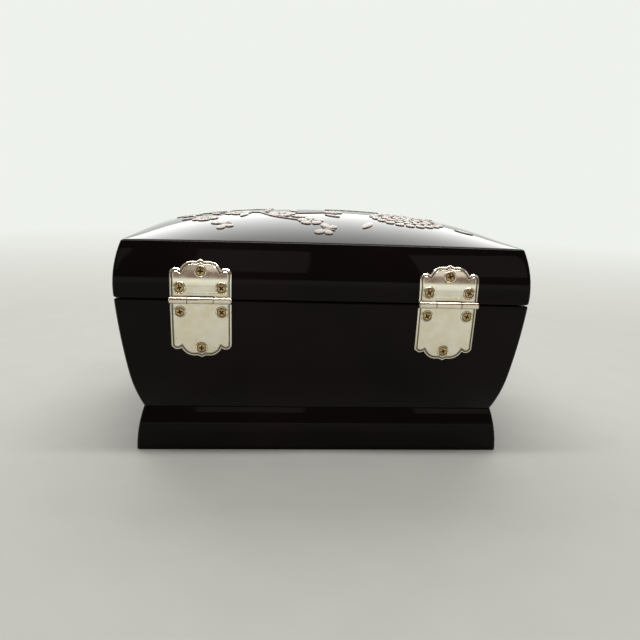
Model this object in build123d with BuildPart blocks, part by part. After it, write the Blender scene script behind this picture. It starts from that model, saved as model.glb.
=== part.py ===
"""Lacquered jewellery box: a domed lid on two scalloped hinges, a swelling case with one drawer, a moulded plinth.

The origin is on the table under the middle of the box. The front, with the drawer and the hasp, faces -Y,
the hinges are at +Y, and +Z is up. All sizes are millimetres.
"""
import os
from math import atan2, cos, degrees, radians, sin, sqrt, tan

from build123d import *

os.makedirs("parts", exist_ok=True)

# Outer form. An inset is how far a moulded side lies in from the box's widest line, which is the lid's belly.
WIDTH = 240.0
DEPTH = 170.0
SEAM_Z = 94.8
SEAM_GAP = 0.5
BELLY_Z = 102.0
RIM_Z = 127.8
RIM_INSET = 4.7
DOME_RISE = 14.6
DOME_SHOULDER = 42.0
CASE_SEAM_INSET = 0.4
SWEEP_RADIUS = 500.0
SWEEP_UPRIGHT_Z = 134.0
KNEE_Z = 50.0
WAIST_Z = 26.5
WAIST_INSET = 12.8
FOOT_INSET = 8.7
SEAM_ROUND = 0.7
FOOT_ROUND = 0.5

# Boards and walls
LID_WALL = 9.0
LID_PANEL = 5.0
CASE_WALL = 8.0
PLINTH_WALL = 7.2
FLOOR_BOARD = 4.0
FLOOR_REBATE = 3.0
FELT = 1.0
FIT = 0.15
# How far a cutting shape runs past the face that it cuts
OVERRUN = 1.0

# Drawer, its opening and what it runs on
DRAWER_LOW = 33.0
DRAWER_HIGH = 60.0
STILE = 32.0
DRAWER_GAP = 0.5
DRAWER_FRONT_DEPTH = 18.6
DRAWER_BOX_STEP = 4.0
DRAWER_BACK_GAP = 2.05
DRAWER_BOX_HEIGHT = 24.5
DRAWER_SIDE = 5.0
DRAWER_FLOOR = 3.0
RUNNER_WIDTH = 6.0
RUNNER_GAP = 0.3
GUIDE_WIDTH = 5.5
GUIDE_HEIGHT = 18.0
GUIDE_GAP = 0.4
DIVIDER_BOARD = 3.0

# Lining, partitions, ring rolls and mirror
LINER = 1.6
LINER_DROP = 0.8
PAD = 2.0
PARTITION = 3.0
PARTITION_HEIGHT = 20.0
PARTITION_ROUND = 1.0
PARTITION_Y = 6.0
MIDDLE_COMPARTMENT = 0.3
RING_ROLL_RADIUS = 7.2
RING_ROLL_COUNT = 4
RING_ROLL_GAP = 0.8
CEILING = 3.0
MIRROR_END_MARGIN = 40.0
MIRROR_SIDE_MARGIN = 35.0
MIRROR_THICKNESS = 3.0
BEZEL_WIDTH = 7.0
BEZEL_LAP = 3.0
BEZEL_LIP = 1.2

# Sheet metal fittings. The scallop's marks are measured out from a leaf's middle and back from its tip.
LEAF = 0.9
LEAF_SEAT = 0.1
HINGE_FROM_END = 49.0
HINGE_HALF = 17.2
LID_LEAF_TIP = 22.9
CASE_LEAF_TIP = 34.8
SCALLOP_FLANK = (2.4, 1.1)
SCALLOP_LOBE = (8.3, 2.1)
SCALLOP_NOTCH = (11.5, 5.6)
SCALLOP_EAR = (14.5, 4.9)
SCALLOP_CORNER_BACK = 7.2
KNUCKLE_RADIUS = 2.1
KNUCKLE_GAP = 0.25
MIDDLE_KNUCKLE = 14.4
SWING_ROOM = 0.35
PIN_RADIUS = 1.0
PIN_GAP = 0.04
PIN_PROUD = 0.3
LID_LEAF_SCREWS = ((0.0, 16.3), (-11.7, 7.0), (11.7, 7.0))
CASE_LEAF_SCREWS = ((0.0, -28.6), (-11.7, -7.0), (11.7, -7.0))

# Screws
SCREW_HEAD = 2.35
SCREW_RIM = 0.15
SCREW_SHANK = 1.05
SCREW_LENGTH = 7.5
SCREW_POINT = 0.8
SCREW_SIDES = 8
SCREW_GAP = 0.04
# Half the height over which a moulding's lean under a screw is measured
LEAN_STEP = 0.9

# Hasp and staple
HASP_HALF = 13.0
HASP_PIVOT_Z = 98.5
HASP_KNUCKLE = 1.8
HASP_PLATE_TIP = 20.0
HASP_MIDDLE = 11.0
HASP_REST_TILT = 9.0
HASP_PLATE_SCREWS = ((0.0, 14.0), (-8.8, 5.6), (8.8, 5.6))
STRAP = 1.0
STRAP_HALF = 7.5
STRAP_LENGTH = 30.0
STRAP_SHOULDER = 8.0
SLOT_MIDDLE = 22.5
SLOT_WIDTH = 3.4
SLOT_HEIGHT = 9.0
STAPLE_Z = 76.0
STAPLE_THICKNESS = 1.6
STAPLE_HALF = 2.6
STAPLE_EYE = 1.3
STAPLE_CLEAR = 0.4
STAPLE_PLATE_WIDTH = 19.0
STAPLE_PLATE_HEIGHT = 14.0
STAPLE_PLATE_CORNER = 3.0
STAPLE_SCREW_X = 6.2

# Drawer pull
PULL_Z = 50.0
PULL_PLATE_RADIUS = 8.0
PULL_REACH = 5.6
PULL_EYE = 2.6
PULL_EYE_WIDTH = 4.4
PULL_NECK = 1.7
PULL_BORE = 1.45
PULL_BOLT = 1.5
PULL_NUT = 3.2
PULL_NUT_HEIGHT = 2.6
RING_RADIUS = 7.0
RING_WIRE = 1.05
RING_SIDES = 4
RING_SAG = 0.24

HALF_X = WIDTH / 2
HALF_Y = DEPTH / 2
LID_LOW = SEAM_Z + SEAM_GAP
PANEL_LOW = RIM_Z - LID_PANEL
HINGE_X = HALF_X - HINGE_FROM_END
HINGE_Z = SEAM_Z + SEAM_GAP / 2
DRAWER_HALF = HALF_X - STILE
DRAWER_BOX_HALF = DRAWER_HALF - DRAWER_BOX_STEP
# Half the clear depth inside the case at its narrowest level
RUNNER_REACH = HALF_Y - WAIST_INSET - CASE_WALL - FIT
DRAWER_BOX_BACK = RUNNER_REACH - DRAWER_BACK_GAP
SHORT_PARTITION_X = HALF_X * MIDDLE_COMPARTMENT
MIRROR_WIDTH = WIDTH - 2 * MIRROR_END_MARGIN
MIRROR_DEPTH = DEPTH - 2 * MIRROR_SIDE_MARGIN
SHOULDERS = ((-1, 0), (-1, DOME_SHOULDER), (1, DOME_SHOULDER), (1, 0))
# A cubic patch rises at its middle to this share of the height of its four inner control points
MIDDLE_SHARE = 9 / 16
SIDES = {
    "back": (0, HALF_X, HALF_Y),
    "left": (90, HALF_Y, HALF_X),
    "front": (180, HALF_X, HALF_Y),
    "right": (270, HALF_Y, HALF_X),
}


def arc_inset(radius, height):
    """How far an arc has moved in at a height above or below the level where it stands upright."""
    return radius - sqrt(radius**2 - height**2)


def arc_radius(inset, height):
    """Radius of the arc that stands upright and has moved in by an inset at a height."""
    return (inset**2 + height**2) / (2 * inset)


def lid_inset(z):
    """Inset of the lid's side at a height."""
    return arc_inset(arc_radius(RIM_INSET, RIM_Z - BELLY_Z), z - BELLY_Z)


def case_inset(z):
    """Inset of the case's side at a height above its knee."""
    at_seam = arc_inset(SWEEP_RADIUS, SWEEP_UPRIGHT_Z - SEAM_Z)
    return CASE_SEAM_INSET + arc_inset(SWEEP_RADIUS, SWEEP_UPRIGHT_Z - z) - at_seam


HINGE_Y = HALF_Y - lid_inset(HINGE_Z) + LEAF_SEAT + KNUCKLE_RADIUS
HASP_PIVOT_Y = HALF_Y - lid_inset(HASP_PIVOT_Z) + LEAF_SEAT + HASP_KNUCKLE


def lid_side(half):
    """The lid's side at a half span, one arc from the seam over the belly to the rim. Gives its two ends."""
    side = ThreePointArc((half - lid_inset(LID_LOW), LID_LOW), (half, BELLY_Z), (half - RIM_INSET, RIM_Z))
    return side @ 0, side @ 1


def case_side(half):
    """The case's side: a long sweep from the seam to the knee, then a tighter arc in to the waist."""
    middle_z = (SEAM_Z + KNEE_Z) / 2
    sweep = ThreePointArc(
        (half - case_inset(SEAM_Z), SEAM_Z),
        (half - case_inset(middle_z), middle_z),
        (half - case_inset(KNEE_Z), KNEE_Z),
    )
    heel = TangentArc(sweep @ 1, (half - WAIST_INSET, WAIST_Z), tangent=sweep % 1)
    return sweep @ 0, heel @ 1


def plinth_side(half):
    """The plinth's side: one arc that stands upright at the table and leans in to the waist."""
    middle_z = WAIST_Z / 2
    lean = arc_inset(arc_radius(WAIST_INSET - FOOT_INSET, WAIST_Z), middle_z)
    side = ThreePointArc(
        (half - FOOT_INSET, 0), (half - FOOT_INSET - lean, middle_z), (half - WAIST_INSET, WAIST_Z)
    )
    return side @ 0, side @ 1


def moulded_block(draw_side, shrink=0.0):
    """Solid block whose four sides follow one moulding, so that its corners are true mitres."""
    with BuildPart() as block:
        for plane, half, mode in ((Plane.XZ, HALF_X, Mode.ADD), (Plane.YZ, HALF_Y, Mode.INTERSECT)):
            with BuildSketch(plane):
                with BuildLine():
                    one_end, other_end = draw_side(half - shrink)
                    mirror(about=Plane.YZ)
                    Line(one_end, (-one_end.X, one_end.Y))
                    Line(other_end, (-other_end.X, other_end.Y))
                make_face()
            extrude(amount=WIDTH, both=True, mode=mode)
    return block.part


def pillow():
    """Solid under the lid's pillow surface, which is one cubic patch, straight along its four edges."""
    across = [sign * (HALF_X - RIM_INSET - shoulder) for sign, shoulder in SHOULDERS]
    along = [sign * (HALF_Y - RIM_INSET - shoulder) for sign, shoulder in SHOULDERS]
    crown_z = RIM_Z + DOME_RISE / MIDDLE_SHARE
    inner_x, inner_y = across[1:3], along[1:3]
    rows = [[(x, y, crown_z if x in inner_x and y in inner_y else RIM_Z) for y in along] for x in across]
    top = Face.make_bezier_surface(rows)
    return Solid(Shell([top, Face(top.outer_wire())]))


def mitred_wall(block, side, low, high, thickness):
    """One wall of a moulded block, cut at 45 degrees at both ends, with an upright inner face."""
    turn, length, reach = SIDES[side]
    with BuildPart() as wall:
        with BuildSketch(Plane.XY.offset(low).rotated((0, 0, turn))):
            Polygon(
                (-length - OVERRUN, reach + OVERRUN),
                (thickness - length, reach - thickness),
                (length - thickness, reach - thickness),
                (length + OVERRUN, reach + OVERRUN),
                align=None,
            )
        extrude(amount=high - low)
        add(block, mode=Mode.INTERSECT)
    return wall.part


def longest(edges):
    """The longest edge of a group, which is a board's outer one."""
    return edges.sort_by(SortBy.LENGTH)[-1:]


def screw_shape(gap=0.0):
    """Countersunk wood screw along Z, its head flush at the origin's level, or the hole for it with a gap."""
    with BuildPart() as screw:
        with BuildSketch():
            RegularPolygon(SCREW_HEAD + gap, SCREW_SIDES, major_radius=False)
        extrude(amount=SCREW_SHANK - SCREW_HEAD - SCREW_RIM)
        chamfer(screw.edges().group_by(Axis.Z)[0], SCREW_HEAD - SCREW_SHANK)
        with BuildSketch():
            RegularPolygon(SCREW_SHANK + gap, SCREW_SIDES, major_radius=False)
        extrude(amount=-SCREW_LENGTH - gap)
        if gap:
            with BuildSketch():
                RegularPolygon(SCREW_HEAD + gap, SCREW_SIDES, major_radius=False)
            extrude(amount=OVERRUN)
        else:
            chamfer(screw.edges().group_by(Axis.Z)[0], SCREW_POINT)
    return screw.part


def on_fitting(marks, middle_x, pivot_z, inset, facing):
    """Places of screws square to a fitting on a moulded side. facing is 1 at the back and -1 at the front."""
    places = []
    for x, up in marks:
        z = pivot_z + up
        lean = degrees(atan2(inset(z + LEAN_STEP) - inset(z - LEAN_STEP), 2 * LEAN_STEP))
        y = facing * (HALF_Y - inset(z) + LEAF_SEAT + LEAF)
        places.append(Location((middle_x + x, y, z), (facing * (lean - 90), 0, 0)))
    return places


def scalloped_outline(half, tip):
    """A leaf's outline above its root line: straight sides, a small ear, a notch, and a lobe up to the tip."""
    scale = half / HINGE_HALF
    flank, lobe, notch, ear = [
        (scale * x, tip - scale * back) for x, back in (SCALLOP_FLANK, SCALLOP_LOBE, SCALLOP_NOTCH, SCALLOP_EAR)
    ]
    corner = (half, tip - scale * SCALLOP_CORNER_BACK)
    Polyline((0, 0), (half, 0), corner)
    ThreePointArc(corner, ear, notch)
    ThreePointArc(notch, lobe, flank)
    Line(flank, (0, tip))
    mirror(about=Plane.YZ)


def leaf_solid(wrap, root, facing, half, tip):
    """Stamped leaf on the back (facing 1) or the front (facing -1), bent to the moulding that it is screwed to.

    The root is the middle of the leaf's pivot edge, and the leaf goes down from it where the tip is negative.
    """
    outer, inner = wrap
    up = 1 if tip > 0 else -1
    with BuildPart() as leaf:
        with BuildSketch(Plane(root, x_dir=(-facing * up, 0, 0), z_dir=(0, facing, 0))):
            with BuildLine():
                scalloped_outline(half, abs(tip))
            make_face()
        extrude(amount=DEPTH)
        add(outer, mode=Mode.INTERSECT)
        add(inner, mode=Mode.SUBTRACT)
    return leaf.part


def skin(draw_side):
    """The outer and inner block that bound a sheet wrapped over a moulding."""
    return moulded_block(draw_side, -LEAF_SEAT - LEAF), moulded_block(draw_side, -LEAF_SEAT)


def save(part, label):
    """Names a finished piece and writes it."""
    part.label = label
    export_step(part, f"parts/{label}.step")


def save_screws(label, places):
    """Writes a set of like screws as one group of separate solids."""
    with BuildPart() as group:
        with Locations(*places):
            add(screw)
    save(group.part, label)


screw = screw_shape()
screw_hole = screw_shape(SCREW_GAP)
hinge_middles = {"left": -HINGE_X, "right": HINGE_X}
lid_hinge_places = [
    place for x in hinge_middles.values() for place in on_fitting(LID_LEAF_SCREWS, x, HINGE_Z, lid_inset, 1)
]
case_hinge_places = [
    place for x in hinge_middles.values() for place in on_fitting(CASE_LEAF_SCREWS, x, HINGE_Z, case_inset, 1)
]
hasp_places = on_fitting(HASP_PLATE_SCREWS, 0, HASP_PIVOT_Z, lid_inset, -1)
staple_places = on_fitting(((-STAPLE_SCREW_X, 0), (STAPLE_SCREW_X, 0)), 0, STAPLE_Z, case_inset, -1)

# Plinth: four mitred rails of one moulding, rebated at the top for the floor board
plinth_block = moulded_block(plinth_side)
plinth_wall = WAIST_INSET + PLINTH_WALL
board_low = WAIST_Z - FLOOR_BOARD
board_inset = plinth_wall - FLOOR_REBATE
for side in SIDES:
    with BuildPart() as plinth_rail:
        add(mitred_wall(plinth_block, side, 0, WAIST_Z, plinth_wall))
        fillet(longest(plinth_rail.edges().group_by(Axis.Z)[0]), FOOT_ROUND)
        with BuildSketch(Plane.XY.offset(board_low)):
            Rectangle(WIDTH - 2 * board_inset, DEPTH - 2 * board_inset)
        extrude(amount=FLOOR_BOARD, mode=Mode.SUBTRACT)
    save(plinth_rail.part, f"plinth_{side}_rail")

with BuildPart() as floor_board:
    with BuildSketch(Plane.XY.offset(board_low)):
        Rectangle(WIDTH - 2 * board_inset - 2 * FIT, DEPTH - 2 * board_inset - 2 * FIT)
    extrude(amount=FLOOR_BOARD)
save(floor_board.part, "floor_board")

with BuildPart() as base_felt:
    with BuildSketch(Plane.XY.offset(board_low - FELT)):
        Rectangle(WIDTH - 2 * plinth_wall - 2 * FIT, DEPTH - 2 * plinth_wall - 2 * FIT)
    extrude(amount=FELT)
save(base_felt.part, "base_felt")

# Case: four walls of one bent section, outer and inner faces parallel, the front one framed round the drawer
case_block = moulded_block(case_side)
case_hollow = moulded_block(case_side, CASE_WALL)
case_walls = {}
for side in SIDES:
    with BuildPart() as case_wall:
        add(mitred_wall(case_block, side, WAIST_Z, SEAM_Z, WAIST_INSET + CASE_WALL + FIT))
        add(case_hollow, mode=Mode.SUBTRACT)
        fillet(longest(case_wall.edges().group_by(Axis.Z)[-1]), SEAM_ROUND)
        if side == "back":
            with Locations(*case_hinge_places):
                add(screw_hole, mode=Mode.SUBTRACT)
        if side == "front":
            with Locations(*staple_places):
                add(screw_hole, mode=Mode.SUBTRACT)
    case_walls[side] = case_wall.part
    if side != "front":
        save(case_wall.part, f"case_{side}_wall")

for name, low, high in (("lower", WAIST_Z, DRAWER_LOW), ("upper", DRAWER_HIGH, SEAM_Z)):
    with BuildPart() as case_front_rail:
        with BuildSketch(Plane.XY.offset(low)):
            Rectangle(WIDTH, DEPTH)
        extrude(amount=high - low)
        add(case_walls["front"], mode=Mode.INTERSECT)
    save(case_front_rail.part, f"case_front_{name}_rail")

for name, sign in (("left", -1), ("right", 1)):
    with BuildPart() as case_front_stile:
        with BuildSketch(Plane.XY.offset(DRAWER_LOW)):
            with Locations((sign * (HALF_X + DRAWER_HALF) / 2, 0)):
                Rectangle(HALF_X - DRAWER_HALF, DEPTH)
        extrude(amount=DRAWER_HIGH - DRAWER_LOW)
        add(case_walls["front"], mode=Mode.INTERSECT)
    save(case_front_stile.part, f"case_front_{name}_stile")

# Inside the case: the board over the drawer, and the runners and guides that carry and steer the drawer
case_inside = moulded_block(case_side, CASE_WALL + FIT)
divider_low = DRAWER_HIGH + DRAWER_GAP
divider_top = divider_low + DIVIDER_BOARD
with BuildPart() as divider_board:
    with BuildSketch(Plane.XY.offset(divider_low)):
        Rectangle(WIDTH, DEPTH)
    extrude(amount=DIVIDER_BOARD)
    add(case_inside, mode=Mode.INTERSECT)
save(divider_board.part, "divider_board")

guide_inner = DRAWER_BOX_HALF + GUIDE_GAP
for name, sign in (("left", -1), ("right", 1)):
    with BuildPart() as drawer_runner:
        with BuildSketch(Plane.XY.offset(WAIST_Z)):
            with Locations((sign * (DRAWER_BOX_HALF - RUNNER_WIDTH / 2), 0)):
                Rectangle(RUNNER_WIDTH, 2 * RUNNER_REACH)
        extrude(amount=DRAWER_LOW - WAIST_Z)
    save(drawer_runner.part, f"drawer_runner_{name}")

    with BuildPart() as drawer_guide:
        with BuildSketch(Plane.XY.offset(WAIST_Z)):
            with Locations((sign * (guide_inner + GUIDE_WIDTH / 2), 0)):
                Rectangle(GUIDE_WIDTH, 2 * RUNNER_REACH)
        extrude(amount=GUIDE_HEIGHT)
    save(drawer_guide.part, f"drawer_guide_{name}")

# Upper compartment: cloth-covered lining, floor pad, partitions and ring rolls
liner_inside = moulded_block(case_side, CASE_WALL + FIT + LINER)
with BuildPart() as compartment_liner:
    with BuildSketch(Plane.XY.offset(divider_top)):
        Rectangle(WIDTH, DEPTH)
    extrude(amount=SEAM_Z - LINER_DROP - divider_top)
    add(case_inside, mode=Mode.INTERSECT)
    add(liner_inside, mode=Mode.SUBTRACT)
save(compartment_liner.part, "compartment_liner")

room_inset = CASE_WALL + LINER + 2 * FIT + case_inset(divider_top)
room_x = HALF_X - room_inset
room_y = HALF_Y - room_inset
with BuildPart() as compartment_pad:
    with BuildSketch(Plane.XY.offset(divider_top)):
        Rectangle(2 * room_x, 2 * room_y)
    extrude(amount=PAD)
    fillet(compartment_pad.edges().group_by(Axis.Z)[-1], PAD / 2)
save(compartment_pad.part, "compartment_pad")

partition_low = divider_top + PAD
with BuildPart() as long_partition:
    with BuildSketch(Plane.XY.offset(partition_low)):
        with Locations((0, PARTITION_Y)):
            Rectangle(2 * room_x, PARTITION)
    extrude(amount=PARTITION_HEIGHT)
    fillet(long_partition.edges().group_by(Axis.Z)[-1].filter_by(Axis.X), PARTITION_ROUND)
save(long_partition.part, "long_partition")

front_bay = PARTITION_Y - PARTITION / 2 + room_y
for name, sign in (("left", -1), ("right", 1)):
    with BuildPart() as short_partition:
        with BuildSketch(Plane.XY.offset(partition_low)):
            with Locations((sign * SHORT_PARTITION_X, PARTITION_Y - (PARTITION + front_bay) / 2)):
                Rectangle(PARTITION, front_bay)
        extrude(amount=PARTITION_HEIGHT)
        fillet(short_partition.edges().group_by(Axis.Z)[-1].filter_by(Axis.Y), PARTITION_ROUND)
    save(short_partition.part, f"short_partition_{name}")

roll_step = 2 * RING_ROLL_RADIUS + RING_ROLL_GAP
rear_bay_middle = (PARTITION_Y + PARTITION / 2 + room_y) / 2
with BuildPart() as ring_rolls:
    with Locations((0, rear_bay_middle, partition_low + RING_ROLL_RADIUS + FIT)):
        with GridLocations(0, roll_step, 1, RING_ROLL_COUNT):
            Cylinder(RING_ROLL_RADIUS, 2 * room_x - 2 * RING_ROLL_GAP, rotation=(0, 90, 0))
save(ring_rolls.part, "ring_rolls")

# Drawer: a front cut from the same moulding as the case, with a thin box behind it
drawer_back_y = HALF_Y - DRAWER_FRONT_DEPTH
drawer_front_y = HALF_Y - case_inset(PULL_Z)
with BuildPart() as drawer_front:
    with BuildSketch(Plane.XY.offset(DRAWER_LOW + DRAWER_GAP)):
        with Locations((0, -HALF_Y + DRAWER_FRONT_DEPTH / 2)):
            Rectangle(2 * (DRAWER_HALF - DRAWER_GAP), DRAWER_FRONT_DEPTH)
    extrude(amount=DRAWER_HIGH - DRAWER_LOW - 2 * DRAWER_GAP)
    add(case_block, mode=Mode.INTERSECT)
    level_edges = drawer_front.edges().filter_by(Axis.X).group_by(Axis.Z)
    outer_edges = [row.sort_by(Axis.Y)[0] for row in (level_edges[0], level_edges[-1])]
    fillet(outer_edges, SEAM_ROUND)
    with Locations((0, -(drawer_front_y + drawer_back_y) / 2, PULL_Z)):
        Cylinder(PULL_BOLT + FIT, DRAWER_FRONT_DEPTH, rotation=(90, 0, 0), mode=Mode.SUBTRACT)
save(drawer_front.part, "drawer_front")

drawer_box_low = DRAWER_LOW + RUNNER_GAP
drawer_box_length = drawer_back_y + DRAWER_BOX_BACK
inner_half = DRAWER_BOX_HALF - DRAWER_SIDE
for name, sign in (("left", -1), ("right", 1)):
    with BuildPart() as drawer_side:
        with BuildSketch(Plane.XY.offset(drawer_box_low)):
            with Locations((sign * (DRAWER_BOX_HALF - DRAWER_SIDE / 2), (DRAWER_BOX_BACK - drawer_back_y) / 2)):
                Rectangle(DRAWER_SIDE, drawer_box_length)
        extrude(amount=DRAWER_BOX_HEIGHT)
        fillet(drawer_side.edges().group_by(Axis.Z)[-1].filter_by(Axis.Y), DRAWER_SIDE / 4)
    save(drawer_side.part, f"drawer_{name}_side")

with BuildPart() as drawer_back:
    with BuildSketch(Plane.XY.offset(drawer_box_low)):
        with Locations((0, DRAWER_BOX_BACK - DRAWER_SIDE / 2)):
            Rectangle(2 * inner_half, DRAWER_SIDE)
    extrude(amount=DRAWER_BOX_HEIGHT - DRAWER_FLOOR)
save(drawer_back.part, "drawer_back")

for label, thickness, low in (
    ("drawer_bottom", DRAWER_FLOOR, drawer_box_low),
    ("drawer_pad", LINER, drawer_box_low + DRAWER_FLOOR),
):
    with BuildPart() as drawer_board:
        with BuildSketch(Plane.XY.offset(low)):
            with Locations((0, (DRAWER_BOX_BACK - DRAWER_SIDE - drawer_back_y) / 2)):
                Rectangle(2 * inner_half - 2 * FIT, drawer_box_length - DRAWER_SIDE - 2 * FIT)
        extrude(amount=thickness)
    save(drawer_board.part, label)

# Drawer pull: a dished rosette, an eye bolt, its nut inside the drawer, and the ring that swings in the eye
case_skin = skin(case_side)
rosette_face_y = drawer_front_y + LEAF_SEAT + LEAF
eye_y = drawer_front_y + PULL_REACH
with BuildPart() as pull_rosette:
    with BuildSketch(Plane.XZ.offset(drawer_back_y)):
        with Locations((0, PULL_Z)):
            Circle(PULL_PLATE_RADIUS)
            Circle(PULL_BOLT + FIT, mode=Mode.SUBTRACT)
    extrude(amount=HALF_Y)
    add(case_skin[0], mode=Mode.INTERSECT)
    add(case_skin[1], mode=Mode.SUBTRACT)
save(pull_rosette.part, "pull_rosette")

with BuildPart() as pull_bolt:
    with BuildSketch(Plane.YZ):
        with BuildLine():
            Polyline(
                (-eye_y, PULL_Z),
                (-eye_y, PULL_Z + PULL_NECK),
                (-rosette_face_y - SWING_ROOM, PULL_Z + PULL_NECK),
                (-rosette_face_y - SWING_ROOM, PULL_Z + PULL_BOLT),
                (PULL_NUT_HEIGHT - drawer_back_y, PULL_Z + PULL_BOLT),
                (PULL_NUT_HEIGHT - drawer_back_y, PULL_Z),
                (-eye_y, PULL_Z),
            )
        make_face()
    revolve(axis=Axis((0, 0, PULL_Z), (0, 1, 0)))
    with Locations((0, -eye_y, PULL_Z)):
        Cylinder(PULL_EYE, PULL_EYE_WIDTH, rotation=(0, 90, 0))
        Cylinder(PULL_BORE, 2 * PULL_EYE_WIDTH, rotation=(0, 90, 0), mode=Mode.SUBTRACT)
save(pull_bolt.part, "pull_bolt")

with BuildPart() as pull_nut:
    with BuildSketch(Plane.XZ.offset(drawer_back_y - PULL_NUT_HEIGHT)):
        with Locations((0, PULL_Z)):
            RegularPolygon(PULL_NUT, 6)
            Circle(PULL_BOLT + PIN_GAP, mode=Mode.SUBTRACT)
    extrude(amount=PULL_NUT_HEIGHT)
save(pull_nut.part, "pull_nut")

ring_middle_z = PULL_Z + RING_SAG - RING_RADIUS
with BuildPart() as pull_ring:
    with BuildSketch(Plane.YZ):
        with Locations((-eye_y, ring_middle_z + RING_RADIUS)):
            RegularPolygon(RING_WIRE, RING_SIDES, rotation=180 / RING_SIDES)
    revolve(axis=Axis((0, -eye_y, ring_middle_z), (0, 1, 0)))
save(pull_ring.part, "pull_ring")

# Lid: four mitred rails under a pillow-shaped top that carries their moulding on up to the rim
with BuildPart() as domed_block:
    add(moulded_block(lid_side))
    add(pillow())

for side in SIDES:
    with BuildPart() as lid_rail:
        add(mitred_wall(domed_block.part, side, LID_LOW, PANEL_LOW, LID_WALL))
        fillet(longest(lid_rail.edges().group_by(Axis.Z)[0]), SEAM_ROUND)
        if side == "back":
            with Locations(*lid_hinge_places):
                add(screw_hole, mode=Mode.SUBTRACT)
        if side == "front":
            with Locations(*hasp_places):
                add(screw_hole, mode=Mode.SUBTRACT)
    save(lid_rail.part, f"lid_{side}_rail")

with BuildPart() as lid_top_panel:
    with BuildSketch(Plane.XY.offset(PANEL_LOW)):
        Rectangle(WIDTH, DEPTH)
    extrude(amount=LID_PANEL + DOME_RISE + OVERRUN)
    add(domed_block.part, mode=Mode.INTERSECT)
save(lid_top_panel.part, "lid_top_panel")

# Inside the lid: a ceiling board that carries the mirror, the mirror's bezel and the cloth-covered lining
ceiling_low = PANEL_LOW - CEILING
lid_room_x = HALF_X - LID_WALL - FIT
lid_room_y = HALF_Y - LID_WALL - FIT
with BuildPart() as ceiling_board:
    with BuildSketch(Plane.XY.offset(ceiling_low)):
        Rectangle(2 * lid_room_x, 2 * lid_room_y)
    extrude(amount=CEILING)
save(ceiling_board.part, "ceiling_board")

with BuildPart() as lid_liner:
    with BuildSketch(Plane.XY.offset(LID_LOW + LINER_DROP)):
        Rectangle(2 * lid_room_x, 2 * lid_room_y)
        Rectangle(2 * (lid_room_x - LINER), 2 * (lid_room_y - LINER), mode=Mode.SUBTRACT)
    extrude(amount=ceiling_low - LID_LOW - LINER_DROP)
save(lid_liner.part, "lid_liner")

mirror_low = ceiling_low - MIRROR_THICKNESS
with BuildPart() as lid_mirror:
    with BuildSketch(Plane.XY.offset(mirror_low)):
        Rectangle(MIRROR_WIDTH, MIRROR_DEPTH)
    extrude(amount=MIRROR_THICKNESS)
save(lid_mirror.part, "lid_mirror")

bezel_grow = 2 * (BEZEL_WIDTH - BEZEL_LAP)
with BuildPart() as mirror_bezel:
    with BuildSketch(Plane.XY.offset(mirror_low - BEZEL_LIP)):
        Rectangle(MIRROR_WIDTH + bezel_grow, MIRROR_DEPTH + bezel_grow)
        Rectangle(MIRROR_WIDTH - 2 * BEZEL_LAP, MIRROR_DEPTH - 2 * BEZEL_LAP, mode=Mode.SUBTRACT)
    extrude(amount=MIRROR_THICKNESS + BEZEL_LIP)
    chamfer(mirror_bezel.edges().group_by(Axis.Z)[0], BEZEL_LIP / 2)
    with BuildSketch(Plane.XY.offset(mirror_low)):
        Rectangle(MIRROR_WIDTH + 2 * FIT, MIRROR_DEPTH + 2 * FIT)
    extrude(amount=MIRROR_THICKNESS, mode=Mode.SUBTRACT)
save(mirror_bezel.part, "mirror_bezel")

# Hinges: the lid's leaf has the outer knuckles, the case's leaf the middle one, and a pin runs through all three
lid_skin = skin(lid_side)
outer_knuckle = HINGE_HALF - MIDDLE_KNUCKLE / 2 - KNUCKLE_GAP
outer_knuckle_x = HINGE_HALF - outer_knuckle / 2
room = 2 * (KNUCKLE_RADIUS + SWING_ROOM)
for name, middle_x in hinge_middles.items():
    root = (middle_x, 0, HINGE_Z)
    with BuildPart() as lid_leaf:
        add(leaf_solid(lid_skin, root, 1, HINGE_HALF, LID_LEAF_TIP))
        with Locations((middle_x, HINGE_Y, HINGE_Z)):
            Box(MIDDLE_KNUCKLE + 2 * KNUCKLE_GAP, room, room, mode=Mode.SUBTRACT)
            with Locations((-outer_knuckle_x, 0, 0), (outer_knuckle_x, 0, 0)):
                Cylinder(KNUCKLE_RADIUS, outer_knuckle, rotation=(0, 90, 0))
            Cylinder(PIN_RADIUS + PIN_GAP, 2 * (HINGE_HALF + OVERRUN), rotation=(0, 90, 0), mode=Mode.SUBTRACT)
        with Locations(*lid_hinge_places):
            add(screw_hole, mode=Mode.SUBTRACT)
    save(lid_leaf.part, f"hinge_{name}_lid_leaf")

    with BuildPart() as case_leaf:
        add(leaf_solid(case_skin, root, 1, HINGE_HALF, -CASE_LEAF_TIP))
        with Locations((middle_x, HINGE_Y, HINGE_Z)):
            with Locations((-outer_knuckle_x, 0, 0), (outer_knuckle_x, 0, 0)):
                Box(outer_knuckle + 2 * KNUCKLE_GAP, room, room, mode=Mode.SUBTRACT)
            Cylinder(KNUCKLE_RADIUS, MIDDLE_KNUCKLE, rotation=(0, 90, 0))
            Cylinder(PIN_RADIUS + PIN_GAP, 2 * (HINGE_HALF + OVERRUN), rotation=(0, 90, 0), mode=Mode.SUBTRACT)
        with Locations(*case_hinge_places):
            add(screw_hole, mode=Mode.SUBTRACT)
    save(case_leaf.part, f"hinge_{name}_case_leaf")

    with BuildPart() as hinge_pin:
        with Locations((middle_x, HINGE_Y, HINGE_Z)):
            Cylinder(PIN_RADIUS, 2 * (HINGE_HALF + PIN_PROUD), rotation=(0, 90, 0))
    save(hinge_pin.part, f"hinge_{name}_pin")

save_screws("hinge_lid_screws", lid_hinge_places)
save_screws("hinge_case_screws", case_hinge_places)

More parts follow.
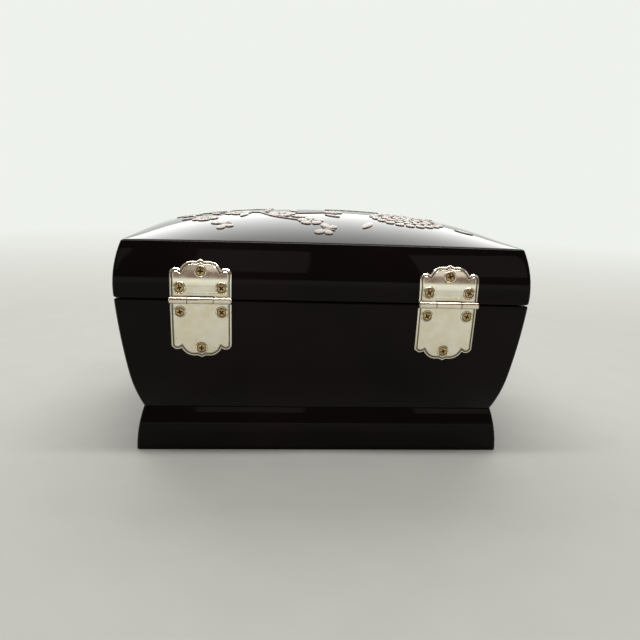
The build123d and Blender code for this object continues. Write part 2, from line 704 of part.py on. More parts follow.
# Hasp: a scalloped plate on the lid, and a slotted strap that hangs from it, held out clear of the staple
hasp_outer = HASP_HALF - HASP_MIDDLE / 2 - KNUCKLE_GAP
hasp_outer_x = HASP_HALF - hasp_outer / 2
hasp_clear = HASP_KNUCKLE + SWING_ROOM
with BuildPart() as hasp_plate:
    add(leaf_solid(lid_skin, (0, 0, HASP_PIVOT_Z), -1, HASP_HALF, HASP_PLATE_TIP))
    with Locations((0, -HASP_PIVOT_Y, HASP_PIVOT_Z)):
        Box(HASP_MIDDLE + 2 * KNUCKLE_GAP, 2 * hasp_clear, 2 * hasp_clear, mode=Mode.SUBTRACT)
        with Locations((-hasp_outer_x, 0, 0), (hasp_outer_x, 0, 0)):
            Cylinder(HASP_KNUCKLE, hasp_outer, rotation=(0, 90, 0))
        Cylinder(PIN_RADIUS + PIN_GAP, 2 * (HASP_HALF + OVERRUN), rotation=(0, 90, 0), mode=Mode.SUBTRACT)
    with Locations(*hasp_places):
        add(screw_hole, mode=Mode.SUBTRACT)
save(hasp_plate.part, "hasp_plate")

with BuildPart() as hasp_pin:
    with Locations((0, -HASP_PIVOT_Y, HASP_PIVOT_Z)):
        Cylinder(PIN_RADIUS, 2 * (HASP_HALF + PIN_PROUD), rotation=(0, 90, 0))
save(hasp_pin.part, "hasp_pin")
save_screws("hasp_screws", hasp_places)

tilt = radians(HASP_REST_TILT)
strap_plane = Plane((0, -HASP_PIVOT_Y, HASP_PIVOT_Z), x_dir=(1, 0, 0), z_dir=(0, -cos(tilt), sin(tilt)))
with BuildPart() as hasp_strap:
    with BuildSketch(strap_plane.offset(-STRAP / 2)):
        with BuildLine():
            Polyline(
                (0, 0),
                (HASP_MIDDLE / 2, 0),
                (HASP_MIDDLE / 2, -hasp_clear),
                (STRAP_HALF, -STRAP_SHOULDER),
                (STRAP_HALF, STRAP_HALF - STRAP_LENGTH),
            )
            RadiusArc((STRAP_HALF, STRAP_HALF - STRAP_LENGTH), (0, -STRAP_LENGTH), STRAP_HALF)
            mirror(about=Plane.YZ)
        make_face()
        with Locations((0, -SLOT_MIDDLE)):
            SlotOverall(SLOT_HEIGHT, SLOT_WIDTH, rotation=90, mode=Mode.SUBTRACT)
    extrude(amount=STRAP)
    with Locations((0, -HASP_PIVOT_Y, HASP_PIVOT_Z)):
        Cylinder(HASP_KNUCKLE, HASP_MIDDLE, rotation=(0, 90, 0))
        Cylinder(PIN_RADIUS + PIN_GAP, HASP_MIDDLE, rotation=(0, 90, 0), mode=Mode.SUBTRACT)
save(hasp_strap.part, "hasp_strap")

# Staple: an eye that the strap's slot drops over, riveted to a plate on the case
with BuildPart() as staple_plate:
    with BuildSketch(Plane.XZ.offset(drawer_back_y)):
        with Locations((0, STAPLE_Z)):
            RectangleRounded(STAPLE_PLATE_WIDTH, STAPLE_PLATE_HEIGHT, STAPLE_PLATE_CORNER)
    extrude(amount=HALF_Y)
    add(case_skin[0], mode=Mode.INTERSECT)
    add(case_skin[1], mode=Mode.SUBTRACT)
    with Locations(*staple_places):
        add(screw_hole, mode=Mode.SUBTRACT)
save(staple_plate.part, "staple_plate")

strap_drop = HASP_PIVOT_Z - STAPLE_Z
nose_y = HASP_PIVOT_Y + strap_drop * tan(tilt) - STRAP / 2 / cos(tilt) - STAPLE_CLEAR
staple_eye_y = nose_y - STAPLE_HALF
with BuildPart() as staple:
    with BuildSketch(Plane.YZ.offset(-STAPLE_THICKNESS / 2)):
        with Locations((-staple_eye_y, STAPLE_Z)):
            Circle(STAPLE_HALF)
        with Locations((-(staple_eye_y + drawer_back_y) / 2, STAPLE_Z)):
            Rectangle(staple_eye_y - drawer_back_y, 2 * STAPLE_HALF)
        with Locations((-staple_eye_y, STAPLE_Z)):
            Circle(STAPLE_EYE, mode=Mode.SUBTRACT)
    extrude(amount=STAPLE_THICKNESS)
    add(case_skin[0], mode=Mode.SUBTRACT)
save(staple.part, "staple")
save_screws("staple_screws", staple_places)
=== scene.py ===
"""Black lacquered jewellery box: domed lid with pearl inlay, scalloped hinges, a drawer, a velvet lining.

Sizes are in metres. The back, with the hinges, faces +Y, and the front, with drawer and hasp, faces -Y.
"""
from math import asin, atan2, cos, hypot, pi, radians, sin, sqrt

import bpy
from mathutils import Matrix, Vector


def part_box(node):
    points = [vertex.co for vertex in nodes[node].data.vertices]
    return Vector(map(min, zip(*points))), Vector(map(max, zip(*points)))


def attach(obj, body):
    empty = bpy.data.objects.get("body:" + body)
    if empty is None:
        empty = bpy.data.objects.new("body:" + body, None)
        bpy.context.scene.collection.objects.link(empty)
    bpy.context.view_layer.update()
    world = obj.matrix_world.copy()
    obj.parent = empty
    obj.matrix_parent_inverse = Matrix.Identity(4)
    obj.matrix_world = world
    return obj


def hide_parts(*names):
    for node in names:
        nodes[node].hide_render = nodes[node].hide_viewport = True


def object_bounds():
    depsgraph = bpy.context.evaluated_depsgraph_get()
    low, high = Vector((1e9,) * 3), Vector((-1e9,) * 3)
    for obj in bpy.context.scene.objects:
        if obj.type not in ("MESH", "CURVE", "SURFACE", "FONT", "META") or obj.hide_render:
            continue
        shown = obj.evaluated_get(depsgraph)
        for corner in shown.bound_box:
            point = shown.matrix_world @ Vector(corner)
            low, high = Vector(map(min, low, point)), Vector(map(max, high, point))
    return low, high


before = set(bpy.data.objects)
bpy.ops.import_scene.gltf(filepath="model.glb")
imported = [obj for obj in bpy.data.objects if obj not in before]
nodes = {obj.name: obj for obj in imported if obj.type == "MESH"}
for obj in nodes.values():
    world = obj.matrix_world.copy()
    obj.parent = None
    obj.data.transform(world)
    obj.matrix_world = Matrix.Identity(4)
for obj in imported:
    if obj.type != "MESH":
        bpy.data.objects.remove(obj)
cad_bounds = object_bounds()
MM = 0.001

# Camera: held low behind the box, a little to one side, looking slightly down and a touch askew.
# Its place, turns and lens are those of the photograph, whose frame is 640 pixels square.
CAMERA_PLACE = Vector((0.0293, 0.4348, 0.1652))
CAMERA_YAW = radians(4.28)
CAMERA_PITCH = radians(12.94)
CAMERA_ROLL = radians(1.96)
FRAME_PIXELS = 640
FOCAL_PIXELS = 624.7
SENSOR_WIDTH = 36

level_ahead = Vector((-sin(CAMERA_YAW), -cos(CAMERA_YAW), 0))
level_right = Vector((-cos(CAMERA_YAW), sin(CAMERA_YAW), 0))
ahead = cos(CAMERA_PITCH) * level_ahead - sin(CAMERA_PITCH) * Vector((0, 0, 1))
upward = sin(CAMERA_PITCH) * level_ahead + cos(CAMERA_PITCH) * Vector((0, 0, 1))
camera_right = cos(CAMERA_ROLL) * level_right + sin(CAMERA_ROLL) * upward
camera_up = cos(CAMERA_ROLL) * upward - sin(CAMERA_ROLL) * level_right
turn = Matrix((camera_right, camera_up, -ahead)).transposed()
bpy.ops.object.camera_add(location=CAMERA_PLACE, rotation=turn.to_euler())
camera = bpy.context.object
camera.data.sensor_width = SENSOR_WIDTH
camera.data.lens = SENSOR_WIDTH * FOCAL_PIXELS / FRAME_PIXELS
bpy.context.scene.camera = camera
bpy.context.scene.view_settings.view_transform = "Standard"


# Table and light: a pale matt table that runs off into a pale wall. A wide soft lamp beyond the box lights
# its top, a strip lamp overhead draws thin bright lines on its edges, and three panels behind the camera
# shine in the lacquer, where the rest of the room behind the camera is mirrored dim and warm.
TABLE_COLOUR = (0.6, 0.59, 0.55, 1)
TABLE_SPECKLE = 0.97
WALL_COLOUR = (0.86, 0.89, 0.84, 1)
DIM_ROOM_COLOUR = (0.19, 0.135, 0.115, 1)
BLACK = (0.0, 0.0, 0.0, 1.0)
ROOM_FILL = 0.31
ROOM_PALE_AT = -0.5
ROOM_DIM_AT = 0.12
FADE_FROM = 0.45
FADE_TO = 1.5
TABLE_SIZE = 12
PANELS_AT = (-0.62, 0.1, 0.7)


def put(tree, value, socket):
    """Gives an input its value, or links an output to it."""
    if isinstance(value, bpy.types.NodeSocket):
        tree.links.new(value, socket)
    else:
        socket.default_value = value


def feed(tree, node, **values):
    """Sets a node's inputs by name, and where it has no such input, the value of its own with that name."""
    for name, value in values.items():
        socket = node.inputs.get(name.replace("_", " "))
        if socket is None:
            setattr(node, name, value)
        else:
            put(tree, value, socket)
    return node


def add_node(tree, kind, **values):
    """Adds one node with its values."""
    return feed(tree, tree.nodes.new(kind), **values)


def new_finish(name, **values):
    """A new material with its node tree and its shader, whose inputs get their values by name."""
    material = bpy.data.materials.new(name)
    material.use_nodes = True
    tree = material.node_tree
    return material, tree, feed(tree, tree.nodes["Principled BSDF"], **values)


def grain(tree, scale, detail, stretch=(1, 1, 1), kind="ShaderNodeTexNoise"):
    """Grey texture of a scale per metre on the piece's own coordinates, stretched where its grain runs."""
    place = add_node(tree, "ShaderNodeTexCoord")
    mapping = add_node(tree, "ShaderNodeMapping", Scale=stretch, Vector=place.outputs["Object"])
    return add_node(tree, kind, Scale=scale, Detail=detail, Vector=mapping.outputs["Vector"]).outputs[0]


def ramp(tree, source, *stops):
    """Colour ramp from a grey source. A stop is (place, colour), where a single number stands for a grey."""
    node = add_node(tree, "ShaderNodeValToRGB", Fac=source)
    bar = node.color_ramp.elements
    while len(bar) < len(stops):
        bar.new(0.5)
    for element, (place, colour) in zip(bar, stops):
        element.position = place
        element.color = (*colour[:3], 1) if isinstance(colour, tuple) else (colour, colour, colour, 1)
    return node.outputs["Color"]


def bump(tree, shader, height, strength, distance):
    """Raises a shader's surface by a grey height."""
    node = add_node(tree, "ShaderNodeBump", Strength=strength, Distance=distance, Height=height)
    feed(tree, shader, Normal=node.outputs["Normal"])


def mixed(tree, share, first, second, blend="MIX"):
    """Colour of two, mixed or blended by a share."""
    node = add_node(tree, "ShaderNodeMix", data_type="RGBA", blend_type=blend, Factor=share)
    put(tree, first, node.inputs[6])
    put(tree, second, node.inputs[7])
    return node.outputs[2]


def worked(tree, operation, *values):
    """Result of one sum."""
    node = add_node(tree, "ShaderNodeMath", operation=operation)
    for value, socket in zip(values, node.inputs):
        put(tree, value, socket)
    return node.outputs[0]


def span(tree, value, low, high):
    """Share from 0 to 1 as a value goes from low to high."""
    return add_node(tree, "ShaderNodeMapRange", Value=value, From_Min=low, From_Max=high).outputs["Result"]


def seen_plainly(tree, path):
    """Whether light reaches the camera straight or through glass."""
    return worked(tree, "MAXIMUM", path.outputs["Is Camera Ray"], path.outputs["Is Transmission Ray"])


bpy.ops.mesh.primitive_plane_add(size=TABLE_SIZE, location=(0, 0, cad_bounds[0].z))
table = bpy.context.object
table.name = "table"
table_finish, tree, shader = new_finish(
    "pale_table", Roughness=0.6, Specular_IOR_Level=0.0, Emission_Color=WALL_COLOUR
)
speckled = tuple(TABLE_SPECKLE * c for c in TABLE_COLOUR[:3])
tint = ramp(tree, grain(tree, 35, 4), (0.3, speckled), (0.7, TABLE_COLOUR))
spot = add_node(tree, "ShaderNodeTexCoord")
far_away = add_node(tree, "ShaderNodeVectorMath", operation="LENGTH", Vector=spot.outputs["Object"])
path = add_node(tree, "ShaderNodeLightPath")
seen = worked(tree, "MAXIMUM", seen_plainly(tree, path), path.outputs["Is Glossy Ray"])
glow = worked(tree, "MULTIPLY", seen, span(tree, far_away.outputs["Value"], FADE_FROM, FADE_TO))
feed(tree, shader, Emission_Strength=glow, Base_Color=mixed(tree, glow, tint, BLACK))
table.data.materials.append(table_finish)

room = bpy.data.worlds.new("pale_room")
bpy.context.scene.world = room
room.use_nodes = True
tree = room.node_tree
direction = add_node(tree, "ShaderNodeTexCoord")
axes = add_node(tree, "ShaderNodeSeparateXYZ", Vector=direction.outputs["Generated"])
path = add_node(tree, "ShaderNodeLightPath")
towards_camera = span(tree, axes.outputs["Y"], ROOM_PALE_AT, ROOM_DIM_AT)
mirrored = mixed(tree, towards_camera, WALL_COLOUR, DIM_ROOM_COLOUR)
fill = tuple(ROOM_FILL * c for c in WALL_COLOUR[:3]) + (1.0,)
plain = mixed(tree, seen_plainly(tree, path), fill, WALL_COLOUR)
room_colour = mixed(tree, path.outputs["Is Glossy Ray"], plain, mirrored)
feed(tree, tree.nodes["Background"], Color=room_colour)


def soft_lamp(name, place, aim, width, height, watts, shows=True):
    """Flat soft lamp that faces a point. One that doesn't show still lights the box and shines in it."""
    facing = (Vector(place) - Vector(aim)).to_track_quat("Z", "Y").to_euler()
    bpy.ops.object.light_add(type="AREA", location=place, rotation=facing)
    lamp = bpy.context.object
    lamp.name = name
    lamp.data.shape = "RECTANGLE"
    lamp.data.size = width
    lamp.data.size_y = height
    lamp.data.energy = watts
    lamp.visible_camera = shows


soft_lamp(
    "wide_lamp", place=(0, -1.5, 1.27), aim=(0, 0, 0.1), width=3.2, height=1.9, watts=39, shows=False
)
soft_lamp("strip_lamp", place=(0, 0.16, 1.25), aim=(0, 0.1, 0.1), width=1.5, height=0.11, watts=8)
for across in PANELS_AT:
    place, aim = (across, 1.7, 0.6), (across * 0.2, 0.08, 0.1)
    soft_lamp("panel_lamp", place, aim, width=0.36, height=0.62, watts=0.4)


# Lid: a pillow-shaped top on four mitred rails, lacquered as one shell, with softly rounded rim and corners.
# The crown is drawn as one bicubic patch, and its edge is carried down over the belly to the seam.
HALF_X = 120 * MM
HALF_Y = 85 * MM
SEAM_Z = 94.8 * MM
LID_LOW = 95.3 * MM
BELLY_Z = 102 * MM
RIM_Z = 127.8 * MM
RIM_INSET = 4.7 * MM
DOME_RISE = 14.6 * MM
DOME_SHOULDER = 42 * MM
MIDDLE_SHARE = 9 / 16
LID_WALL = 9 * MM
LID_PANEL_LOW = 122.8 * MM
CORNER_ROUND = 1.5 * MM
EDGE_ROUND = 1.0 * MM
PATCH_STEPS = 14
LID_LEVELS = 9
TINY = 0.02 * MM


def clear_selection():
    """Leaves edit mode and selects nothing."""
    if bpy.context.object and bpy.context.object.mode != "OBJECT":
        bpy.ops.object.mode_set(mode="OBJECT")
    bpy.ops.object.select_all(action="DESELECT")


def take_up(piece):
    """Leaves edit mode and selects one piece alone."""
    clear_selection()
    piece.select_set(True)
    bpy.context.view_layer.objects.active = piece


def set_place(piece):
    """Puts a piece's place, turn and size into its mesh."""
    take_up(piece)
    bpy.ops.object.transform_apply(location=True, rotation=True, scale=True)


def pick(piece, kind, test):
    """Selects a piece's edges by a test on their two ends, or its faces by a test, and stays in edit mode."""
    bpy.context.view_layer.objects.active = piece
    bpy.ops.object.mode_set(mode="EDIT")
    bpy.ops.mesh.select_mode(type=kind)
    bpy.ops.mesh.select_all(action="DESELECT")
    bpy.ops.object.mode_set(mode="OBJECT")
    mesh = piece.data
    if kind == "EDGE":
        for edge in mesh.edges:
            edge.select = test(*(mesh.vertices[i].co for i in edge.vertices))
    else:
        for face in mesh.polygons:
            face.select = test(face)
    bpy.ops.object.mode_set(mode="EDIT")


def ease(piece, width, steps, test):
    """Rounds the edges that a test picks."""
    pick(piece, "EDGE", test)
    bpy.ops.mesh.bevel(offset=width, segments=steps, affect="EDGES")


def face_outwards():
    """Turns all faces of the piece in edit mode outwards."""
    bpy.ops.mesh.select_all(action="SELECT")
    bpy.ops.mesh.normals_make_consistent(inside=False)


def apply_modifier(piece, kind, **values):
    """Adds one modifier, sets it and applies it."""
    bpy.context.view_layer.objects.active = piece
    modifier = piece.modifiers.new(kind.lower(), kind)
    for key, value in values.items():
        setattr(modifier, key, value)
    bpy.ops.object.modifier_apply(modifier=modifier.name)


def settle(piece, angle=35, even=False):
    """Sets a piece's place, turns its faces outwards and shades it smooth up to an angle, or evenly too."""
    set_place(piece)
    bpy.ops.object.mode_set(mode="EDIT")
    face_outwards()
    bpy.ops.object.mode_set(mode="OBJECT")
    bpy.ops.object.shade_smooth_by_angle(angle=radians(angle))
    if even:
        apply_modifier(piece, "WEIGHTED_NORMAL", keep_sharp=True)


def fit(piece, body, slot, finish, *stands_for):
    """Rides a piece on its body, in the place of the frame's nodes, with one finish."""
    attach(piece, body)
    if stands_for:
        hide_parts(*stands_for)
    piece.data.materials.clear()
    piece.data.materials.append(finish)


def arc_inset(radius, height):
    """How far an arc has moved in at a height from the level where it stands upright."""
    return radius - sqrt(radius**2 - height**2)


def arc_radius(inset, height):
    """Radius of the arc that stands upright and has moved in by an inset at a height."""
    return (inset**2 + height**2) / (2 * inset)


def lid_inset(z):
    """Inset of the lid's side at a height."""
    return arc_inset(arc_radius(RIM_INSET, RIM_Z - BELLY_Z), z - BELLY_Z)


def half_plan(inset):
    """Half width and half depth of the box at an inset."""
    return HALF_X - inset, HALF_Y - inset


def between(start, end, count):
    """Evenly spaced values from a start to an end."""
    return [start + (end - start) * i / count for i in range(count + 1)]


def next_level(half_from, half_to, rise):
    """Extrudes the selected ring up or down and fits it to its new half width and half depth."""
    bpy.ops.mesh.extrude_edges_move(TRANSFORM_OT_translate={"value": (0, 0, rise)})
    scale = (half_to[0] / half_from[0], half_to[1] / half_from[1], 1)
    bpy.ops.transform.resize(value=scale, center_override=(0, 0, 0))


def on_mitre(a, b, deepest):
    """Whether an edge climbs along one of the four mitres, no further in than a depth."""
    return abs(a.z - b.z) > TINY and all(
        abs(abs(p.x) - HALF_X - abs(p.y) + HALF_Y) < TINY and abs(p.x) > HALF_X - deepest for p in (a, b)
    )


def on_level(a, b, z, deepest):
    """Whether an edge runs level and along a side at a height, no further in than a depth."""
    at_rim = all(
        abs(p.z - z) < TINY and (abs(p.x) > HALF_X - deepest or abs(p.y) > HALF_Y - deepest) for p in (a, b)
    )
    return at_rim and not (abs(abs(a.x) - abs(b.x)) > TINY and abs(abs(a.y) - abs(b.y)) > TINY)


clear_selection()
bpy.ops.surface.primitive_nurbs_surface_surface_add(radius=1, location=(0, 0, 0))
lid_shell = bpy.context.object
patch = lid_shell.data.splines[0]
patch.use_endpoint_u = patch.use_endpoint_v = True
patch.order_u = patch.order_v = 4
patch.resolution_u = patch.resolution_v = PATCH_STEPS
lid_shell.data.resolution_u = lid_shell.data.resolution_v = PATCH_STEPS
shoulders = ((-1, 0), (-1, DOME_SHOULDER), (1, DOME_SHOULDER), (1, 0))
for i, (sign_y, in_y) in enumerate(shoulders):
    for j, (sign_x, in_x) in enumerate(shoulders):
        z = RIM_Z + (DOME_RISE / MIDDLE_SHARE if in_x and in_y else 0)
        x = sign_x * (HALF_X - RIM_INSET - in_x)
        y = sign_y * (HALF_Y - RIM_INSET - in_y)
        patch.points[4 * i + j].co = (x, y, z, 1)
bpy.ops.object.convert(target="MESH")
lid_shell.name = "lid_shell"
bpy.ops.object.mode_set(mode="EDIT")
bpy.ops.mesh.select_all(action="SELECT")
bpy.ops.mesh.remove_doubles(threshold=TINY)
face_outwards()
pick(lid_shell, "EDGE", lambda a, b: abs(a.z - RIM_Z) < TINY and abs(b.z - RIM_Z) < TINY)
lid_levels = between(RIM_Z, LID_LOW, LID_LEVELS)
for level, z in zip(lid_levels, lid_levels[1:]):
    next_level(half_plan(lid_inset(level)), half_plan(lid_inset(z)), z - level)
next_level(half_plan(lid_inset(LID_LOW)), half_plan(LID_WALL), 0)
next_level(half_plan(LID_WALL), half_plan(LID_WALL), LID_PANEL_LOW - LID_LOW)
bpy.ops.mesh.edge_face_add()
inside = LID_WALL - MM
ease(lid_shell, EDGE_ROUND, 3, lambda a, b: on_level(a, b, LID_LOW, inside))
ease(
    lid_shell, CORNER_ROUND, 5,
    lambda a, b: on_mitre(a, b, inside) or on_level(a, b, RIM_Z, RIM_INSET + MM),
)
settle(lid_shell, even=True)

# Black lacquer, rubbed to a mirror gloss: nearly black, with a brown cast and a slight ripple from the brush.
# Handling has left faint smudges that dull the gloss in patches. Face on, it throws back little of the room.
LACQUER_BLACK = (0.0035, 0.0024, 0.0026)
LACQUER_BROWN = (0.0075, 0.0045, 0.0045)
LACQUER_GLOSS_TINT = (0.22, 0.2, 0.2, 1.0)
lacquer, tree, shader = new_finish("black_lacquer", IOR=1.5, Specular_Tint=LACQUER_GLOSS_TINT)
tint = ramp(tree, grain(tree, 14, 3), (0.35, LACQUER_BLACK), (0.7, LACQUER_BROWN))
smudges = ramp(tree, grain(tree, 26, 6), (0.48, 0.035), (0.75, 0.13))
feed(tree, shader, Base_Color=tint, Roughness=smudges)
bump(tree, shader, grain(tree, 60, 1), 0.12, 0.2 * MM)
fit(lid_shell, "lid", "black_lacquer", lacquer,
    "lid_back_rail", "lid_left_rail", "lid_front_rail", "lid_right_rail", "lid_top_panel")


# Case: four mitred walls planed to one long sweep that turns in at the heel, glued up and lacquered. Their
# inner faces run parallel to the outer, and the front is open round the drawer.
CASE_SEAM_INSET = 0.4 * MM
SWEEP_RADIUS = 500 * MM
SWEEP_UPRIGHT_Z = 134 * MM
KNEE_Z = 50 * MM
WAIST_Z = 26.5 * MM
WAIST_INSET = 12.8 * MM
CASE_WALL = 8 * MM
STILE = 32 * MM
DRAWER_LOW = 33 * MM
DRAWER_HIGH = 60 * MM
WAIST_ROUND = 0.4 * MM


def case_inset(z):
    """Inset of the case's side at a height: the sweep above the knee, the tighter heel below it."""
    at_seam = arc_inset(SWEEP_RADIUS, SWEEP_UPRIGHT_Z - SEAM_Z)
    if z >= KNEE_Z:
        return CASE_SEAM_INSET + arc_inset(SWEEP_RADIUS, SWEEP_UPRIGHT_Z - z) - at_seam
    knee = Vector((case_inset(KNEE_Z), KNEE_Z))
    lean = asin((SWEEP_UPRIGHT_Z - KNEE_Z) / SWEEP_RADIUS)
    chord = Vector((WAIST_INSET, WAIST_Z)) - knee
    radius = chord.length_squared / (2 * (chord.x * cos(lean) + chord.y * sin(lean)))
    centre = knee + radius * Vector((cos(lean), sin(lean)))
    return centre.x - sqrt(radius**2 - (z - centre.y) ** 2)


def walled_ring(name, stops, cuts=0):
    """Closed ring of walls round the box: a rectangle of edges, extruded from stop to stop and back again.

    A stop is ((half width, half depth), height). Cuts divide each side of the rectangle.
    """
    half, height = stops[0]
    clear_selection()
    bpy.ops.mesh.primitive_plane_add(size=2, location=(0, 0, height))
    ring = bpy.context.object
    ring.name = name
    bpy.ops.object.mode_set(mode="EDIT")
    bpy.ops.mesh.select_mode(type="EDGE")
    bpy.ops.mesh.select_all(action="SELECT")
    bpy.ops.transform.resize(value=(*half, 1))
    bpy.ops.mesh.delete(type="ONLY_FACE")
    bpy.ops.mesh.select_all(action="SELECT")
    if cuts:
        bpy.ops.mesh.subdivide(number_cuts=cuts)
        bpy.ops.mesh.select_all(action="SELECT")
    for reach, z in [*stops[1:], stops[0]]:
        next_level(half, reach, z - height)
        half, height = reach, z
    bpy.ops.mesh.select_all(action="SELECT")
    bpy.ops.mesh.remove_doubles(threshold=TINY)
    set_place(ring)
    return ring


def moulded_frame(name, levels, inset, inner_inset, rounds):
    """Four mitred walls in one: up the moulding, across the top, down the inside and back across the bottom.

    Rounds are (height, width) of the outer edges that are eased, before the corners are.
    """
    up = [(half_plan(inset(z)), z) for z in levels]
    down = [(half_plan(inner_inset(z)), z) for z in reversed(levels)]
    walls = walled_ring(name, up + down)
    for z, width in rounds:
        deepest = inset(z) + MM
        ease(walls, width, 4, lambda a, b: on_level(a, b, z, deepest))
    half_wall = (inner_inset(levels[0]) - inset(levels[0])) / 2
    ease(walls, CORNER_ROUND, 5, lambda a, b: on_mitre(a, b, inset((a.z + b.z) / 2) + half_wall))
    bpy.ops.object.mode_set(mode="OBJECT")
    return walls


def join(pieces, name):
    """Joins pieces into the first one."""
    clear_selection()
    for piece in pieces:
        piece.select_set(True)
    bpy.context.view_layer.objects.active = pieces[0]
    bpy.ops.object.join()
    pieces[0].name = name
    return pieces[0]


def block(name, size, place):
    """Plain block of a size at a place."""
    clear_selection()
    bpy.ops.mesh.primitive_cube_add(size=1, location=place, scale=size)
    piece = bpy.context.object
    piece.name = name
    set_place(piece)
    return piece


def cut(piece, size, place, round_off=0):
    """Cuts a block out of a piece."""
    tool = block("cutter", size, place)
    if round_off:
        apply_modifier(tool, "BEVEL", width=round_off, segments=2)
    punch(piece, tool)


def punch(piece, tool):
    """Cuts a tool's shape out of a piece. The tool goes."""
    apply_modifier(piece, "BOOLEAN", operation="DIFFERENCE", object=tool, solver="EXACT")
    bpy.data.objects.remove(tool)


case_levels = (
    between(WAIST_Z, DRAWER_LOW, 3)[:-1] + between(DRAWER_LOW, KNEE_Z, 7)[:-1]
    + between(KNEE_Z, DRAWER_HIGH, 3)[:-1] + between(DRAWER_HIGH, SEAM_Z, 9)
)
case_shell = moulded_frame(
    "case_shell", case_levels, case_inset, lambda z: case_inset(z) + CASE_WALL,
    [(SEAM_Z, EDGE_ROUND), (WAIST_Z, WAIST_ROUND)],
)
drawer_middle = (0, -HALF_Y, (DRAWER_HIGH + DRAWER_LOW) / 2)
cut(case_shell, (2 * (HALF_X - STILE), HALF_Y, DRAWER_HIGH - DRAWER_LOW), drawer_middle)
settle(case_shell, even=True)
fit(case_shell, "case", "black_lacquer", lacquer,
    "case_back_wall", "case_left_wall", "case_right_wall", "case_front_lower_rail",
    "case_front_upper_rail", "case_front_left_stile", "case_front_right_stile")


# Plinth: four mitred rails of one moulding, lacquered like the case, that lean in from the table to the
# waist. They carry the case over a thin shadow line.
FOOT_INSET = 8.7 * MM
PLINTH_WALL = 7.2 * MM
FOOT_ROUND = 0.5 * MM


def plinth_inset(z):
    """Inset of the plinth's side at a height."""
    return FOOT_INSET + arc_inset(arc_radius(WAIST_INSET - FOOT_INSET, WAIST_Z), z)


plinth = moulded_frame(
    "plinth_rails", between(0, WAIST_Z, 9), plinth_inset, lambda z: WAIST_INSET + PLINTH_WALL,
    [(0, FOOT_ROUND), (WAIST_Z, WAIST_ROUND)],
)
settle(plinth, even=True)
fit(plinth, "case", "black_lacquer", lacquer,
    "plinth_back_rail", "plinth_left_rail", "plinth_front_rail", "plinth_right_rail")


# Drawer front: a lacquered board cut from the case's own moulding, so that the sweep runs on across it.
# It stands half a millimetre clear of its opening all round, and its show face has softened edges.
drawer_low, drawer_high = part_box("drawer_front")
front_levels = between(drawer_low.z, KNEE_Z, 7) + between(KNEE_Z, drawer_high.z, 4)[1:]
face_y = case_inset(front_levels[0]) - HALF_Y


def round_show_face(a, b):
    """Whether an edge of the drawer front runs up its show face or along its top or bottom."""
    on_show = min(a.y, b.y) < drawer_high.y - TINY
    climbs = abs(a.z - b.z) > TINY
    at_end = abs(a.z - drawer_low.z) < TINY or abs(a.z - drawer_high.z) < TINY
    return on_show and (climbs or (at_end and abs(a.y - b.y) < TINY))


clear_selection()
bpy.ops.mesh.primitive_plane_add(size=1, location=(0, 0, front_levels[0]))
drawer_front = bpy.context.object
drawer_front.name = "drawer_front_board"
bpy.ops.object.mode_set(mode="EDIT")
bpy.ops.transform.resize(value=(2 * drawer_high.x, drawer_high.y - face_y, 1))
bpy.ops.transform.translate(value=(0, (drawer_high.y + face_y) / 2, 0))
for low, high in zip(front_levels, front_levels[1:]):
    bpy.ops.mesh.extrude_region_move(TRANSFORM_OT_translate={"value": (0, 0, high - low)})
set_place(drawer_front)
for vertex in drawer_front.data.vertices:
    if vertex.co.y < drawer_high.y - TINY:
        vertex.co.y = case_inset(vertex.co.z) - HALF_Y
ease(drawer_front, EDGE_ROUND, 3, round_show_face)
settle(drawer_front, even=True)
fit(drawer_front, "drawer", "black_lacquer", lacquer, "drawer_front")


# Hinge leaves: plated sheet brass, stamped with a groove inside the scalloped edge, a dished ring round each
# screw and a pressed panel over the middle knuckle. They are bent to the side of the box and screwed on.
LEAF = 0.9 * MM
LEAF_SEAT = 0.1 * MM
HINGE_X = 71 * MM
HINGE_HALF = 17.2 * MM
HINGE_Z = 95.05 * MM
LID_LEAF_TIP = 22.9 * MM
CASE_LEAF_TIP = 34.8 * MM
SCALLOP = [(2.4, 1.1), (8.3, 2.1), (11.5, 5.6), (14.5, 4.9)]
SCALLOP_CORNER_BACK = 7.2
KNUCKLE_RADIUS = 2.1 * MM
KNUCKLE_GAP = 0.25 * MM
KNUCKLE_ROUND = 0.32 * MM
MIDDLE_KNUCKLE = 14.4 * MM
SWING_ROOM = 0.35 * MM
LID_LEAF_SCREWS = ((0, 16.3), (-11.7, 7.0), (11.7, 7.0))
CASE_LEAF_SCREWS = ((0, -28.6), (-11.7, -7.0), (11.7, -7.0))
GROOVE_IN = 0.85 * MM
GROOVE_WALL = 0.3 * MM
GROOVE_FLOOR = 0.2 * MM
GROOVE_DEPTH = 0.28 * MM
RIDGE_SLOPE = 0.2 * MM
RIDGE_TOP = 0.12 * MM
RIDGE_HEIGHT = 0.2 * MM
LEAF_EDGE_ROUND = 0.42 * MM
BEND_STEP = 1.6 * MM
PANEL_SIZE = (15.2 * MM, 4.6 * MM)
PANEL_MIDDLE = 6.2 * MM
PANEL_DEPTH = 0.35 * MM
PANEL_ROUND = 0.3 * MM
DISH = (
    (2.3, -0.1), (2.3, 0.03), (2.58, 0.03), (2.66, 0.42), (2.92, 0.62), (3.22, 0.52), (3.46, 0.14),
    (3.66, -0.1),
)
DISH_FLOOR = 2.62 * MM
DISH_FOOT = 3.5 * MM
ALONG_X = (0, pi / 2, 0)
# Roughness of the dark fill, for pits and for painted shade alike.
DARK_FILL_ROUGHNESS = (0.65, 0.65, 0.65, 1.0)


def paint_shade_on(piece, lies_in_shade):
    """Marks the faces that the finishes darken as painted shade: grooves, hollows, gaps and creases."""
    marks = piece.data.attributes.get("painted_shade") or piece.data.attributes.new("painted_shade", "FLOAT", "FACE")
    for face in piece.data.polygons:
        if lies_in_shade(face):
            marks.data[face.index].value = 1.0


